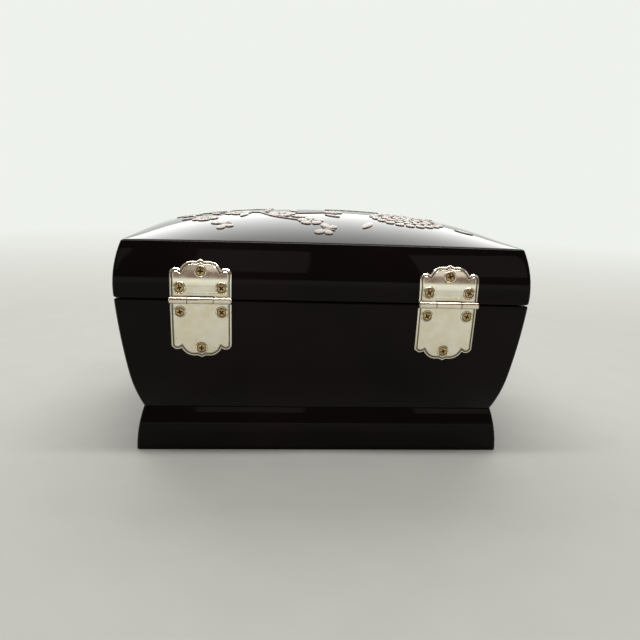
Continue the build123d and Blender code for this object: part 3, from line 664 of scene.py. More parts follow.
def darkened_metal(tree, shader, tint, gloss, share, dark_colour):
    """Bright metal that turns to a dull dark fill by a share, which stands for real pits and for painted
    shade.
    """
    feed(
        tree, shader, Base_Color=mixed(tree, share, tint, dark_colour),
        Metallic=worked(tree, "SUBTRACT", 1.0, share), Roughness=mixed(tree, share, gloss, DARK_FILL_ROUGHNESS),
    )


def arc_through(start, middle, end, steps):
    """Points of the arc through three points, without its start."""
    a, b, c = Vector(start), Vector(middle), Vector(end)
    d = 2 * ((b - a).x * (c - a).y - (b - a).y * (c - a).x)
    p, q = (b - a).length_squared, (c - a).length_squared
    centre = a + Vector(((c - a).y * p - (b - a).y * q, (b - a).x * q - (c - a).x * p)) / d
    radius = (a - centre).length
    first = atan2(*(a - centre).yx)
    turns = (atan2(*(c - centre).yx) - first + pi) % (2 * pi) - pi
    angles = [first + turns * i / steps for i in range(1, steps + 1)]
    return [centre + radius * Vector((cos(angle), sin(angle))) for angle in angles]


def scalloped_half(half, tip):
    """Right half of a leaf's outline, from its root line to its tip."""
    scale = half / HINGE_HALF
    flank, lobe, notch, ear = [Vector((scale * x * MM, tip - scale * back * MM)) for x, back in SCALLOP]
    corner = Vector((half, tip - scale * SCALLOP_CORNER_BACK * MM))
    points = [Vector((half, 0)), corner]
    points += arc_through(corner, ear, notch, 8)
    points += arc_through(notch, lobe, flank, 9)
    return points


def traced(name, points):
    """Wire through a list of points, left in edit mode with everything selected."""
    clear_selection()
    bpy.ops.mesh.primitive_plane_add(size=MM, location=(0, 0, 0))
    wire = bpy.context.object
    wire.name = name
    bpy.ops.object.mode_set(mode="EDIT")
    bpy.ops.mesh.select_mode(type="VERT")
    bpy.ops.mesh.merge(type="CENTER")
    bpy.ops.transform.translate(value=points[0])
    for here, there in zip(points, points[1:]):
        bpy.ops.mesh.extrude_vertices_move(TRANSFORM_OT_translate={"value": Vector(there) - Vector(here)})
    bpy.ops.mesh.select_all(action="SELECT")
    return wire


def blank(name, outline, y, thickness):
    """Flat blank of sheet brass in the XZ plane, from the right half of its outline up to the middle."""
    whole = outline + [Vector((-p.x, p.y)) for p in reversed(outline[:-1])]
    plate = traced(name, [(p.x, y, p.y) for p in whole])
    bpy.ops.mesh.edge_face_add()
    bpy.ops.mesh.extrude_region_move(TRANSFORM_OT_translate={"value": (0, thickness, 0)})
    face_outwards()
    return plate


def stepped(*steps):
    """Insets the picked face again and again. A step is (how far in, how far up)."""
    for inwards, rise in steps:
        bpy.ops.mesh.inset(thickness=inwards, depth=rise)


def stamped_plate(name, half, tip):
    """Flat stamped leaf in the XZ plane, root line at Z 0 and tip at a height, its face to +Y."""
    outline = scalloped_half(half, tip) + [Vector((0, tip))]
    plate = blank(name, outline, 0, LEAF - LEAF_EDGE_ROUND)
    pick(plate, "FACE", lambda face: face.normal.y > 0.99)
    stepped((LEAF_EDGE_ROUND, LEAF_EDGE_ROUND), (GROOVE_IN - LEAF_EDGE_ROUND, 0))
    bpy.ops.object.mode_set(mode="OBJECT")
    before_groove = len(plate.data.polygons)
    bpy.ops.object.mode_set(mode="EDIT")
    stepped((GROOVE_WALL, -GROOVE_DEPTH), (GROOVE_FLOOR, 0), (GROOVE_WALL, GROOVE_DEPTH))
    bpy.ops.object.mode_set(mode="OBJECT")
    # The groove's faces are marked for painted shade.
    paint_shade_on(plate, lambda face: face.index >= before_groove)
    bpy.ops.object.mode_set(mode="EDIT")
    stepped((RIDGE_SLOPE, RIDGE_HEIGHT), (RIDGE_TOP, 0), (RIDGE_SLOPE, -RIDGE_HEIGHT))
    bpy.ops.object.mode_set(mode="OBJECT")
    return plate


def sliced(piece, axis, places):
    """Cuts a piece across an axis at places, so that it can bend or swell there."""
    normal = [float(axis == i) for i in range(3)]
    take_up(piece)
    bpy.ops.object.mode_set(mode="EDIT")
    for place in places:
        bpy.ops.mesh.select_all(action="SELECT")
        bpy.ops.mesh.bisect(plane_co=[place * n for n in normal], plane_no=normal)
    bpy.ops.object.mode_set(mode="OBJECT")


def bend_to_side(plate, seat, up):
    """Lays a flat plate on the box's side, up from its root line for 1 or down for -1.

    A seat is (middle x, height of the root line, 1 at the back or -1 at the front, inset), where inset is the
    function that gives the side's inset at a height.
    """
    middle_x, root_z, facing, inset = seat
    height = max(vertex.co.z for vertex in plate.data.vertices)
    sliced(plate, 2, between(0, height, int(height / BEND_STEP))[1:-1])
    for vertex in plate.data.vertices:
        z = root_z + up * vertex.co.z
        out = HALF_Y - inset(z) + LEAF_SEAT + vertex.co.y
        vertex.co = (middle_x + vertex.co.x, facing * out, z)


def on_side(seat, mark):
    """Place and turn of a thing that stands square on a leaf at a mark in millimetres, its own Z outwards."""
    middle_x, root_z, facing, inset = seat
    x, rise = mark
    z = root_z + rise * MM
    lean = atan2(inset(z + LEAF) - inset(z - LEAF), 2 * LEAF)
    outwards = Vector((0, facing * cos(lean), sin(lean)))
    place = Vector((middle_x + x * MM, facing * (HALF_Y - inset(z) + LEAF_SEAT + LEAF), z))
    return Matrix.Translation(place) @ outwards.to_track_quat("Z", "Y").to_matrix().to_4x4()


def turned(name, profile, steps=40):
    """Solid turned round Z from a profile of (radius, height) in millimetres."""
    piece = traced(name, [(radius * MM, 0, height * MM) for radius, height in profile])
    bpy.ops.mesh.spin(steps=steps, angle=2 * pi, center=(0, 0, 0), axis=(0, 0, 1))
    bpy.ops.mesh.select_all(action="SELECT")
    bpy.ops.mesh.remove_doubles(threshold=TINY / 4)
    bpy.ops.mesh.normals_make_consistent(inside=False)
    bpy.ops.object.mode_set(mode="OBJECT")
    return piece


def copies(master, places, name):
    """Own copies of a master at a list of places, joined into one piece. The master goes."""
    made = []
    for place in places:
        copy = bpy.data.objects.new(name, master.data.copy())
        bpy.context.scene.collection.objects.link(copy)
        copy.data.transform(place)
        made.append(copy)
    bpy.data.objects.remove(master)
    return join(made, name)


def rod(place, turn, radius, length, sides):
    """Plain round rod."""
    clear_selection()
    bpy.ops.mesh.primitive_cylinder_add(
        vertices=sides, radius=radius, depth=length, location=place, rotation=turn
    )
    piece = bpy.context.object
    set_place(piece)
    return piece


def knuckle(place, length, radius):
    """Rolled knuckle along X with softly broken ends, which are darkened as painted shade in the gaps between
    knuckles.
    """
    roll = rod(place, ALONG_X, radius, length, 48)
    apply_modifier(roll, "BEVEL", width=KNUCKLE_ROUND, segments=2, limit_method="ANGLE")
    paint_shade_on(roll, lambda face: abs(face.normal.x) > 0.9)
    return roll


def axis_of(seat, radius):
    """Middle of the knuckles that stand on a seat's root line."""
    middle_x, root_z, facing, inset = seat
    return Vector((middle_x, facing * (HALF_Y - inset(root_z) + LEAF_SEAT + radius), root_z))


def scalloped_leaf(name, seat, up, half, tip, screws, knuckles, notches, radius, panel=False):
    """Finished leaf: plate, notches for the other leaf's knuckles, pressed panel, dished rings, knuckles."""
    plate = stamped_plate(name, half, tip)
    room = 2 * (radius + SWING_ROOM)
    for x, width in notches:
        cut(plate, (width + 2 * KNUCKLE_GAP, 4 * room, room), (x, 0, 0))
    if panel:
        cut(plate, (PANEL_SIZE[0], 2 * PANEL_DEPTH, PANEL_SIZE[1]), (0, LEAF, PANEL_MIDDLE), PANEL_ROUND)
    bend_to_side(plate, seat, up)
    dish = turned("dish", DISH)
    # The floor under the screw head and the foot of the ring are marked for painted shade.
    paint_shade_on(dish, lambda face: not DISH_FLOOR < face.center.xy.length < DISH_FOOT and face.center.z > 0)
    rings = copies(dish, [on_side(seat, mark) for mark in screws], "dishes")
    axis = axis_of(seat, radius)
    rolls = [knuckle(axis + Vector((x, 0, 0)), width, radius) for x, width in knuckles]
    leaf = join([plate, rings, *rolls], name)
    settle(leaf, 40, even=True)
    return leaf


def knuckle_row(half, middle):
    """The middle knuckle and the outer pair on a hinge of a half width, each (x, width)."""
    outer = half - middle / 2 - KNUCKLE_GAP
    return [(0, middle)], [(outer / 2 - half, outer), (half - outer / 2, outer)]


# Plated brass: a bright pale gold plate over nickel, with fine rubbing lines, warmer worn patches and dark
# pits. Its grooves, the hollows round the screws and the ends of the knuckles are darkened as painted shade.
PLATE_GOLD = (0.9, 0.81, 0.6)
PLATE_PALE = (0.97, 0.93, 0.79)
PLATE_PITS_AND_SHADE = (0.07, 0.05, 0.025, 1.0)
PLATE_SHADE_SHARE = 0.85
plate_finish, tree, shader = new_finish("plated_brass")
wear = grain(tree, 160, 5)
tint = ramp(tree, wear, (0.3, PLATE_GOLD), (0.62, PLATE_PALE))
pits = ramp(tree, grain(tree, 620, 0, kind="ShaderNodeTexVoronoi"), (0.1, 1.0), (0.17, 0.0))
pitted_places = ramp(tree, grain(tree, 90, 2), (0.6, 0.0), (0.66, 1.0))
painted_shade = add_node(tree, "ShaderNodeAttribute", attribute_name="painted_shade").outputs["Fac"]
# Dark real pits, and painted shade on the marked faces.
pits_and_painted_shade = worked(
    tree, "MAXIMUM", worked(tree, "MULTIPLY", pits, pitted_places),
    worked(tree, "MULTIPLY", painted_shade, PLATE_SHADE_SHARE),
)
darkened_metal(tree, shader, tint, ramp(tree, wear, (0.35, 0.07), (0.7, 0.16)), pits_and_painted_shade, PLATE_PITS_AND_SHADE)
bump(tree, shader, grain(tree, 900, 2, (1, 1, 0.15)), 0.06, 0.1 * MM)

hinges = (("left", -HINGE_X), ("right", HINGE_X))
middle_one, outer_pair = knuckle_row(HINGE_HALF, MIDDLE_KNUCKLE)
for name, x in hinges:
    lid_leaf = scalloped_leaf(
        f"{name}_hinge_lid_leaf", (x, HINGE_Z, 1, lid_inset), 1, HINGE_HALF, LID_LEAF_TIP,
        LID_LEAF_SCREWS, outer_pair, middle_one, KNUCKLE_RADIUS, panel=True,
    )
    fit(lid_leaf, "lid", "plated_brass", plate_finish, f"hinge_{name}_lid_leaf")
    case_leaf = scalloped_leaf(
        f"{name}_hinge_case_leaf", (x, HINGE_Z, 1, case_inset), -1, HINGE_HALF, CASE_LEAF_TIP,
        CASE_LEAF_SCREWS, middle_one, outer_pair, KNUCKLE_RADIUS,
    )
    fit(case_leaf, "case", "plated_brass", plate_finish, f"hinge_{name}_case_leaf")


# Hinge screws: brass wood screws with oval heads and cross recesses, driven through the leaves into the
# walls. Each was left at its own turn, and its cross is darkened as painted shade.
SCREW_PROFILE = (
    (0, -7.3), (0.9, -6.0), (1.05, -1.4), (2.34, -0.1), (2.42, 0.2), (2.26, 0.42), (1.6, 0.6), (0.8, 0.68),
    (0, 0.7),
)
CROSS_LENGTH = 3.1 * MM
CROSS_WIDTH = 0.85 * MM
CROSS_DEPTH = 1.08 * MM
CROSS_MIDDLE = 0.6 * MM
CROSS_ROUND = 0.12 * MM
CROSS_REACH = 0.52 * CROSS_LENGTH
RECESS_FLOOR = -0.2 * MM
RECESS_TOP = 0.55 * MM
FIRST_TURN = 17
NEXT_TURN = 53
SCREW_DARK = (0.4, 0.25, 0.09)
SCREW_BRIGHT = (0.7, 0.52, 0.25)
SCREW_RECESS_SHADE = (0.02, 0.013, 0.007, 1.0)

screw_finish, tree, shader = new_finish("screw_brass")
tarnish = grain(tree, 1300, 4)
tint = ramp(tree, tarnish, (0.32, SCREW_DARK), (0.6, SCREW_BRIGHT))
painted_shade = add_node(tree, "ShaderNodeAttribute", attribute_name="painted_shade").outputs["Fac"]
# Marked faces turn to a dull dark colour, as painted shade.
darkened_metal(tree, shader, tint, ramp(tree, tarnish, (0.3, 0.3), (0.7, 0.14)), painted_shade, SCREW_RECESS_SHADE)
bump(tree, shader, tarnish, 0.04, 0.1 * MM)


def in_recess(face):
    """Whether a face of a screw lies in its cross."""
    return face.center.xy.length < CROSS_REACH and RECESS_FLOOR < face.center.z < RECESS_TOP


def screw_set(name, seats, marks, body, node):
    """Screws at the marks of each seat, each turned a little further than the one before it."""
    screw = turned("screw", SCREW_PROFILE, 32)
    for size in ((CROSS_LENGTH, CROSS_WIDTH, CROSS_DEPTH), (CROSS_WIDTH, CROSS_LENGTH, CROSS_DEPTH)):
        cut(screw, size, (0, 0, CROSS_MIDDLE), CROSS_ROUND)
    # The cross recess is marked for painted shade.
    paint_shade_on(screw, in_recess)
    places = [on_side(seat, mark) for seat in seats for mark in marks]
    turns = [Matrix.Rotation(radians(FIRST_TURN + NEXT_TURN * i), 4, "Z") for i in range(len(places))]
    screws = copies(screw, [place @ spun for place, spun in zip(places, turns)], name)
    settle(screws, 30)
    fit(screws, body, "screw_brass", screw_finish, node)


lid_seats = [(x, HINGE_Z, 1, lid_inset) for name, x in hinges]
case_seats = [(x, HINGE_Z, 1, case_inset) for name, x in hinges]
screw_set("hinge_screws_in_lid", lid_seats, LID_LEAF_SCREWS, "lid", "hinge_lid_screws")
screw_set("hinge_screws_in_case", case_seats, CASE_LEAF_SCREWS, "case", "hinge_case_screws")


# Pearl inlay: thin slips of cream shell, sawn to petals and leaves and let into the lid's top, a little
# proud of the lacquer, with their veins engraved. The design is a common one of blooms, blossom and
# butterflies. Its places and sizes are in millimetres on the lid's plan, and its angles in degrees.
SLIP_GAP = 0.45
SLIP_THICKNESS = 0.75 * MM
SLIP_ROUND = 0.14 * MM
SLIP_OUTLINE = 28
BLOOMS = ((-56, 24, 25), (-24, -30, 19))
BLOOM_RINGS = ((0.16, 0.4, 9), (0.41, 0.69, 15), (0.7, 1.0, 21))
BRANCH = ((92, -34), (80, -12), (62, 6), (40, 16), (16, 22), (-8, 16))
TWIGS = (
    ((80, -12), (84, 8), (76, 26)), ((62, 6), (60, -14), (46, -30), (30, -38)), ((40, 16), (30, 34), (12, 46))
)
BRANCH_WIDTHS = (2.4, 1.1)
TWIG_WIDTHS = (1.5, 0.8)
BLOSSOMS = (
    (74, 30, 8.5), (86, -2, 7), (54, 14, 9), (26, 26, 9), (8, 46, 8), (-8, 16, 6.5), (44, -28, 8.5),
    (26, -40, 7), (66, -26, 6.5), (96, -42, 5.5),
)
LEAVES = (
    (88, -24, 30, 13), (76, -16, 200, 12), (72, 4, 120, 12), (60, -6, 330, 11), (48, 18, 75, 14),
    (36, 12, 260, 13), (20, 34, 160, 12), (16, 16, 285, 13), (-2, 26, 140, 12), (56, -22, 215, 12),
    (34, -30, 100, 12), (18, -44, 190, 12), (80, 22, 20, 10), (-78, -8, 250, 15), (-42, -6, 300, 13),
    (-30, 46, 60, 14), (-84, 40, 140, 13), (-2, -36, 350, 13), (-40, -46, 225, 13), (-10, -14, 60, 11),
)
BUTTERFLIES = ((-88, -44, 35, 11), (-2, 62, 340, 9), (60, 52, 20, 9))
WINGS = ((52, 1.0, 0.62), (-52, 1.0, 0.62), (118, 0.72, 0.6), (-118, 0.72, 0.6))


def slip(name, width, base_power, tip_power):
    """Flat slip of shell along X, one long. A higher power draws that end out to a finer point."""
    clear_selection()
    bpy.ops.mesh.primitive_circle_add(
        vertices=SLIP_OUTLINE, radius=0.5, fill_type="TRIFAN", location=(0, 0, 0)
    )
    piece = bpy.context.object
    piece.name = name
    veins = piece.data.uv_layers[0]
    veins.name = "veins"
    for loop in piece.data.loops:
        spot = piece.data.vertices[loop.vertex_index].co
        veins.data[loop.index].uv = (spot.x + 0.5, 2 * spot.y)
    for vertex in piece.data.vertices:
        along = min(1.0, max(0.0, vertex.co.x + 0.5))
        narrow = (along + 0.02) ** base_power * (1.02 - along) ** tip_power
        vertex.co = (along, vertex.co.y * width * narrow, 0)
    return piece


def away(angle, reach):
    """Step in the plan, a reach long at an angle."""
    return reach * Vector((cos(radians(angle)), sin(radians(angle))))


def laid(x, y, angle, length, width):
    """Place and size of a slip over the plan of the lid, before it is pressed down on to the dome."""
    place = Matrix.Translation((x * MM, y * MM, RIM_Z + 2 * DOME_RISE))
    return place @ Matrix.Rotation(radians(angle), 4, "Z") @ Matrix.Diagonal((length * MM, width * MM, 1, 1))


petals, centres = [], []
for middle_x, middle_y, reach in BLOOMS:
    centres.append(laid(middle_x - 0.13 * reach, middle_y, 0, 0.26 * reach, 0.26 * reach))
    for ring, (start, end, count) in enumerate(BLOOM_RINGS):
        width = 2 * pi * reach * (0.35 * start + 0.65 * end) / count - SLIP_GAP
        for number in range(count):
            angle = 360 * (number + ring / 2) / count
            out = away(angle, start * reach)
            length = (end - start) * reach - SLIP_GAP
            petals.append(laid(middle_x + out.x, middle_y + out.y, angle, length, width))

blossoms, hearts = [], []
for x, y, reach in BLOSSOMS:
    hearts.append(laid(x - 0.2 * reach, y, 0, 0.4 * reach, 0.4 * reach))
    for number in range(5):
        angle = 72 * number + 7 * x
        out = away(angle, 0.24 * reach)
        blossoms.append(laid(x + out.x, y + out.y, angle, 0.76 * reach, 0.9 * reach))

wings, bodies = [], []
for x, y, angle, reach in BUTTERFLIES:
    tail = away(angle, -0.45 * reach)
    bodies.append(laid(x + tail.x, y + tail.y, angle, 0.9 * reach, 0.15 * reach))
    for turn_by, length, width in WINGS:
        side = 0.12 if turn_by > 0 else -0.12
        root = away(angle, 0.06 * reach) + away(angle + 90, side * reach)
        wings.append(laid(x + root.x, y + root.y, angle + turn_by, length * reach, width * reach))

leaf_slips = [laid(x, y, angle, reach, 0.38 * reach) for x, y, angle, reach in LEAVES]
slips = [
    copies(slip("petal", 1.12, 0.35, 0.0), petals, "petals"),
    copies(slip("centre", 1, 0, 0), centres, "centres"),
    copies(slip("blossom", 1.05, 0.3, -0.05), blossoms, "blossoms"),
    copies(slip("heart", 1, 0, 0), hearts, "hearts"),
    copies(slip("leaf", 1.3, 0.25, 0.35), leaf_slips, "leaves"),
    copies(slip("wing", 1.15, 0.45, 0.0), wings, "wings"),
    copies(slip("body", 1, 0.1, 0.1), bodies, "bodies"),
]


def stem(points, thick, thin):
    """Tapering strip of shell along a smooth line through plan points."""
    smooth = []
    for number in range(len(points) - 1):
        before = Vector(points[max(0, number - 1)])
        here, there = Vector(points[number]), Vector(points[number + 1])
        after = Vector(points[min(len(points) - 1, number + 2)])
        for t in between(0, 1, 6)[:-1]:
            slope = there - before
            bend = 2 * before - 5 * here + 4 * there - after
            twist = 3 * here - before - 3 * there + after
            smooth.append(0.5 * (2 * here + slope * t + bend * t**2 + twist * t**3))
    smooth.append(Vector(points[-1]))
    edges = {1: [], -1: []}
    for number, spot in enumerate(smooth):
        ahead_of = smooth[min(len(smooth) - 1, number + 1)] - smooth[max(0, number - 1)]
        across = Vector((-ahead_of.y, ahead_of.x)).normalized()
        half_width = (thick + (thin - thick) * number / (len(smooth) - 1)) / 2
        for hand in (1, -1):
            edges[hand].append((spot + hand * half_width * across) * MM)
    outline = edges[1] + edges[-1][::-1]
    strip = traced("stem", [(p.x, p.y, RIM_Z + 2 * DOME_RISE) for p in outline])
    bpy.ops.mesh.edge_face_add()
    bpy.ops.mesh.quads_convert_to_tris()
    set_place(strip)
    strip.data.uv_layers.new(name="veins")
    return strip


slips.append(stem(BRANCH, *BRANCH_WIDTHS))
slips += [stem(twig, *TWIG_WIDTHS) for twig in TWIGS]
inlay = join(slips, "pearl_inlay")
bpy.ops.object.mode_set(mode="EDIT")
face_outwards()
bpy.ops.object.mode_set(mode="OBJECT")
if sum(face.normal.z for face in inlay.data.polygons) < 0:
    inlay.data.flip_normals()
apply_modifier(
    inlay, "SHRINKWRAP", wrap_method="PROJECT", target=lid_shell, use_project_z=True,
    use_negative_direction=True, use_positive_direction=False,
)
apply_modifier(inlay, "SOLIDIFY", thickness=SLIP_THICKNESS, offset=0.6)
apply_modifier(inlay, "BEVEL", width=SLIP_ROUND, segments=2, limit_method="ANGLE", angle_limit=radians(50))
take_up(inlay)
bpy.ops.object.shade_smooth_by_angle(angle=radians(35))

# Mother-of-pearl: cream with drifting pink and green lights and fine layers of growth, under thin clear
# lacquer. Dark veins are engraved along each slip.
GROWTH_SHARE = 0.6
VEIN_SHARE = 0.75
PEARL_LIGHTS = (
    (0.28, (0.4, 0.44, 0.36)), (0.42, (0.58, 0.52, 0.43)), (0.52, (0.56, 0.42, 0.37)),
    (0.62, (0.62, 0.57, 0.48)), (0.76, (0.37, 0.45, 0.42)),
)
VEIN_COLOUR = (0.35, 0.3, 0.26)
VEINS = 13
pearl, tree, shader = new_finish(
    "mother_of_pearl", Roughness=0.34, IOR=1.3, Coat_Weight=0.25, Coat_Roughness=0.08
)
lights = ramp(tree, grain(tree, 42, 3), *PEARL_LIGHTS)
growth = ramp(tree, grain(tree, 420, 3, (1, 0.25, 1)), (0.35, 0.8), (0.65, 1.0))
layered = mixed(tree, GROWTH_SHARE, lights, growth, "MULTIPLY")
vein_map = add_node(tree, "ShaderNodeUVMap", uv_map="veins")
vein_axes = add_node(tree, "ShaderNodeSeparateXYZ", Vector=vein_map.outputs["UV"])
swing = worked(tree, "COSINE", worked(tree, "MULTIPLY", vein_axes.outputs["Y"], VEINS))
cut_line = ramp(tree, swing, (0.0, VEIN_COLOUR), (0.12, 1.0))
feed(tree, shader, Base_Color=mixed(tree, VEIN_SHARE, layered, cut_line, "MULTIPLY"))
bump(tree, shader, swing, 0.15, 0.2 * MM)
fit(inlay, "lid", "black_lacquer", pearl)


# Hinge pins: plated brass rods pressed through the knuckles of both hinges and of the hasp.
# They keep the frame's own shape.
PINS = ("hinge_left_pin", "hinge_right_pin", "hasp_pin")


def finish_node(name, finish):
    """Gives a finish to a frame node that keeps its own shape."""
    for slot in nodes[name].material_slots:
        slot.material = finish


for name in PINS:
    finish_node(name, plate_finish)


# Hasp: a smaller scalloped leaf screwed to the front of the lid, and a strap cut from plated sheet brass that
# hangs from its knuckles. The strap's slot is punched through, and its end is rounded to a thumb tab.
HASP_HALF = 13 * MM
HASP_PIVOT_Z = 98.5 * MM
HASP_KNUCKLE = 1.8 * MM
HASP_MIDDLE = 11 * MM
HASP_PLATE_TIP = 20 * MM
HASP_PLATE_SCREWS = ((0, 14.0), (-8.8, 5.6), (8.8, 5.6))
STRAP = 1.0 * MM
STRAP_HALF = 7.5 * MM
STRAP_LENGTH = 30 * MM
STRAP_SHOULDER = 8 * MM
STRAP_TILT = radians(9)
STRAP_ROUND = 0.25 * MM
SLOT_MIDDLE = 22.5 * MM
SLOT_WIDTH = 3.4 * MM
SLOT_HEIGHT = 9 * MM


def across_plate(a, b):
    """Whether an edge runs through a plate's thickness."""
    return abs(a.y - b.y) > TINY


hasp_seat = (0, HASP_PIVOT_Z, -1, lid_inset)
hasp_one, hasp_pair = knuckle_row(HASP_HALF, HASP_MIDDLE)
hasp_plate = scalloped_leaf(
    "hasp_leaf", hasp_seat, 1, HASP_HALF, HASP_PLATE_TIP, HASP_PLATE_SCREWS, hasp_pair, hasp_one, HASP_KNUCKLE
)
fit(hasp_plate, "lid", "plated_brass", plate_finish, "hasp_plate")
screw_set("screws_in_hasp", [hasp_seat], HASP_PLATE_SCREWS, "lid", "hasp_screws")

foot_z = STRAP_HALF - STRAP_LENGTH
quarter = (STRAP_HALF * cos(pi / 4), foot_z - STRAP_HALF * sin(pi / 4))
strap_outline = [
    Vector((HASP_MIDDLE / 2, 0)), Vector((HASP_MIDDLE / 2, -HASP_KNUCKLE - SWING_ROOM)),
    Vector((STRAP_HALF, -STRAP_SHOULDER)), Vector((STRAP_HALF, foot_z)),
]
strap_outline += arc_through(strap_outline[-1], quarter, (0, -STRAP_LENGTH), 12)
strap_plate = blank("strap_plate", strap_outline, -STRAP / 2, STRAP)
slot_punch = block("slot_punch", (SLOT_WIDTH, 4 * STRAP, SLOT_HEIGHT), (0, 0, -SLOT_MIDDLE))
ease(slot_punch, SLOT_WIDTH / 2 - TINY, 8, across_plate)
bpy.ops.object.mode_set(mode="OBJECT")
punch(strap_plate, slot_punch)
apply_modifier(
    strap_plate, "BEVEL", width=STRAP_ROUND, segments=2, limit_method="ANGLE", angle_limit=radians(50)
)
hasp_axis = axis_of(hasp_seat, HASP_KNUCKLE)
strap_plate.data.transform(Matrix.Translation(hasp_axis) @ Matrix.Rotation(-STRAP_TILT, 4, "X"))
hasp_strap = join([strap_plate, knuckle(hasp_axis, HASP_MIDDLE, HASP_KNUCKLE)], "hasp_strap_link")
settle(hasp_strap, 40, even=True)
fit(hasp_strap, "hasp", "plated_brass", plate_finish, "hasp_strap")


# Staple: a rounded plate of sheet brass screwed to the case and a small eye of bent wire, its legs driven
# through the plate, for the strap's slot to drop over.
STAPLE_Z = 76 * MM
STAPLE_WIDTH = 19 * MM
STAPLE_HEIGHT = 14 * MM
STAPLE_CORNER = 3 * MM
STAPLE_BORDER = 1.0 * MM
STAPLE_SCREWS = ((-6.2, 0), (6.2, 0))
STAPLE_EYE_Y = -86.874 * MM
STAPLE_EYE_RADIUS = 1.95 * MM
STAPLE_WIRE = 0.65 * MM
STAPLE_LEG_RISE = 1.3 * MM
LEG_ROUND = 0.2 * MM
THROUGH_SIDE = (pi / 2, 0, 0)


def wire_ring(name, place, turn, radius, thickness, steps, sides):
    """Closed ring of round wire."""
    clear_selection()
    bpy.ops.mesh.primitive_torus_add(
        location=place, rotation=turn, major_radius=radius, minor_radius=thickness,
        major_segments=steps, minor_segments=sides,
    )
    piece = bpy.context.object
    piece.name = name
    set_place(piece)
    return piece


plate_middle = (0, LEAF / 2, STAPLE_HEIGHT / 2)
staple_plate = block("staple_backplate", (STAPLE_WIDTH, LEAF, STAPLE_HEIGHT), plate_middle)
ease(staple_plate, STAPLE_CORNER, 8, across_plate)
pick(staple_plate, "FACE", lambda face: face.normal.y > 0.9)
stepped((LEAF_EDGE_ROUND, LEAF_EDGE_ROUND), (STAPLE_BORDER, 0), (GROOVE_WALL, -GROOVE_DEPTH))
bpy.ops.object.mode_set(mode="OBJECT")
for vertex in staple_plate.data.vertices:
    if vertex.co.y > LEAF:
        vertex.co.y -= LEAF_EDGE_ROUND
bend_to_side(staple_plate, (0, STAPLE_Z - STAPLE_HEIGHT / 2, -1, case_inset), 1)
settle(staple_plate, 40)
fit(staple_plate, "case", "plated_brass", plate_finish, "staple_plate")

leg_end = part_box("staple")[1].y
eye_place = (0, STAPLE_EYE_Y, STAPLE_Z)
staple_parts = [wire_ring("staple_loop", eye_place, ALONG_X, STAPLE_EYE_RADIUS, STAPLE_WIRE, 40, 14)]
for rise in (-STAPLE_LEG_RISE, STAPLE_LEG_RISE):
    middle = (0, (leg_end + STAPLE_EYE_Y) / 2, STAPLE_Z + rise)
    leg = rod(middle, THROUGH_SIDE, STAPLE_WIRE, leg_end - STAPLE_EYE_Y, 24)
    apply_modifier(leg, "BEVEL", width=LEG_ROUND, segments=2, limit_method="ANGLE")
    staple_parts.append(leg)
staple = join(staple_parts, "staple_eye")
settle(staple, 40)
fit(staple, "case", "plated_brass", plate_finish, "staple")
screw_set("screws_in_staple", [(0, STAPLE_Z, -1, case_inset)], STAPLE_SCREWS, "case", "staple_screws")


# Drawer pull: a dished brass rosette with a petalled rim under an eye bolt, held by a nut inside the drawer,
# with a cast ring that swings in the eye.
PULL_Z = 50 * MM
PULL_EYE_Y = -84.633 * MM
ROSETTE_PROFILE = (
    (0, 0), (8.0, 0), (8.0, 0.55), (7.7, 0.85), (7.0, 1.0), (6.3, 0.8), (5.7, 0.55), (5.1, 0.8), (4.4, 1.0),
    (3.6, 0.75), (3.0, 1.3), (2.2, 1.55), (1.6, 1.6), (0, 1.6),
)
ROSETTE_RADIUS = 8 * MM
ROSETTE_BULK = 1.9 * MM
ROSETTE_SEAT = 0.12 * MM
PETALS_FROM = 5.9 * MM
PETALS = 12
PETAL_DEPTH = 0.35 * MM
BOLT_PROFILE = (
    (0, 0), (1.35, 0), (1.5, 0.3), (1.5, 15.4), (1.75, 15.9), (1.75, 16.5), (1.3, 16.9), (0, 16.9)
)
BOLT_LENGTH = 16.9 * MM
BOLT_SHORT_OF_EYE = 1.5 * MM
EYE_RADIUS = 2.02 * MM
EYE_THICKNESS = 0.56 * MM
EYE_BREADTH = 2.6
RING_RADIUS = 7 * MM
RING_THICKNESS = 0.95 * MM
RING_TOP_SHARE = 0.85
RING_FOOT_MORE = 0.25

rosette = turned("pull_flower", ROSETTE_PROFILE, 96)
for vertex in rosette.data.vertices:
    reach = hypot(vertex.co.x, vertex.co.y)
    if vertex.co.z > 0.1 * MM and reach > PETALS_FROM:
        swell = 0.5 - 0.5 * cos(PETALS * atan2(vertex.co.y, vertex.co.x))
        vertex.co.z -= PETAL_DEPTH * swell * (reach / ROSETTE_RADIUS) ** 2
seat_y = case_inset(PULL_Z) - HALF_Y
lean = atan2(case_inset(PULL_Z + MM) - case_inset(PULL_Z - MM), 2 * MM)
bulk = (seat_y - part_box("pull_rosette")[0].y) / ROSETTE_BULK
rosette.data.transform(
    Matrix.Translation((0, seat_y + ROSETTE_SEAT, PULL_Z)) @ Matrix.Rotation(pi / 2 - lean, 4, "X")
    @ Matrix.Scale(bulk, 4, (0, 0, 1))
)
settle(rosette, 30)
fit(rosette, "drawer", "plated_brass", plate_finish, "pull_rosette")

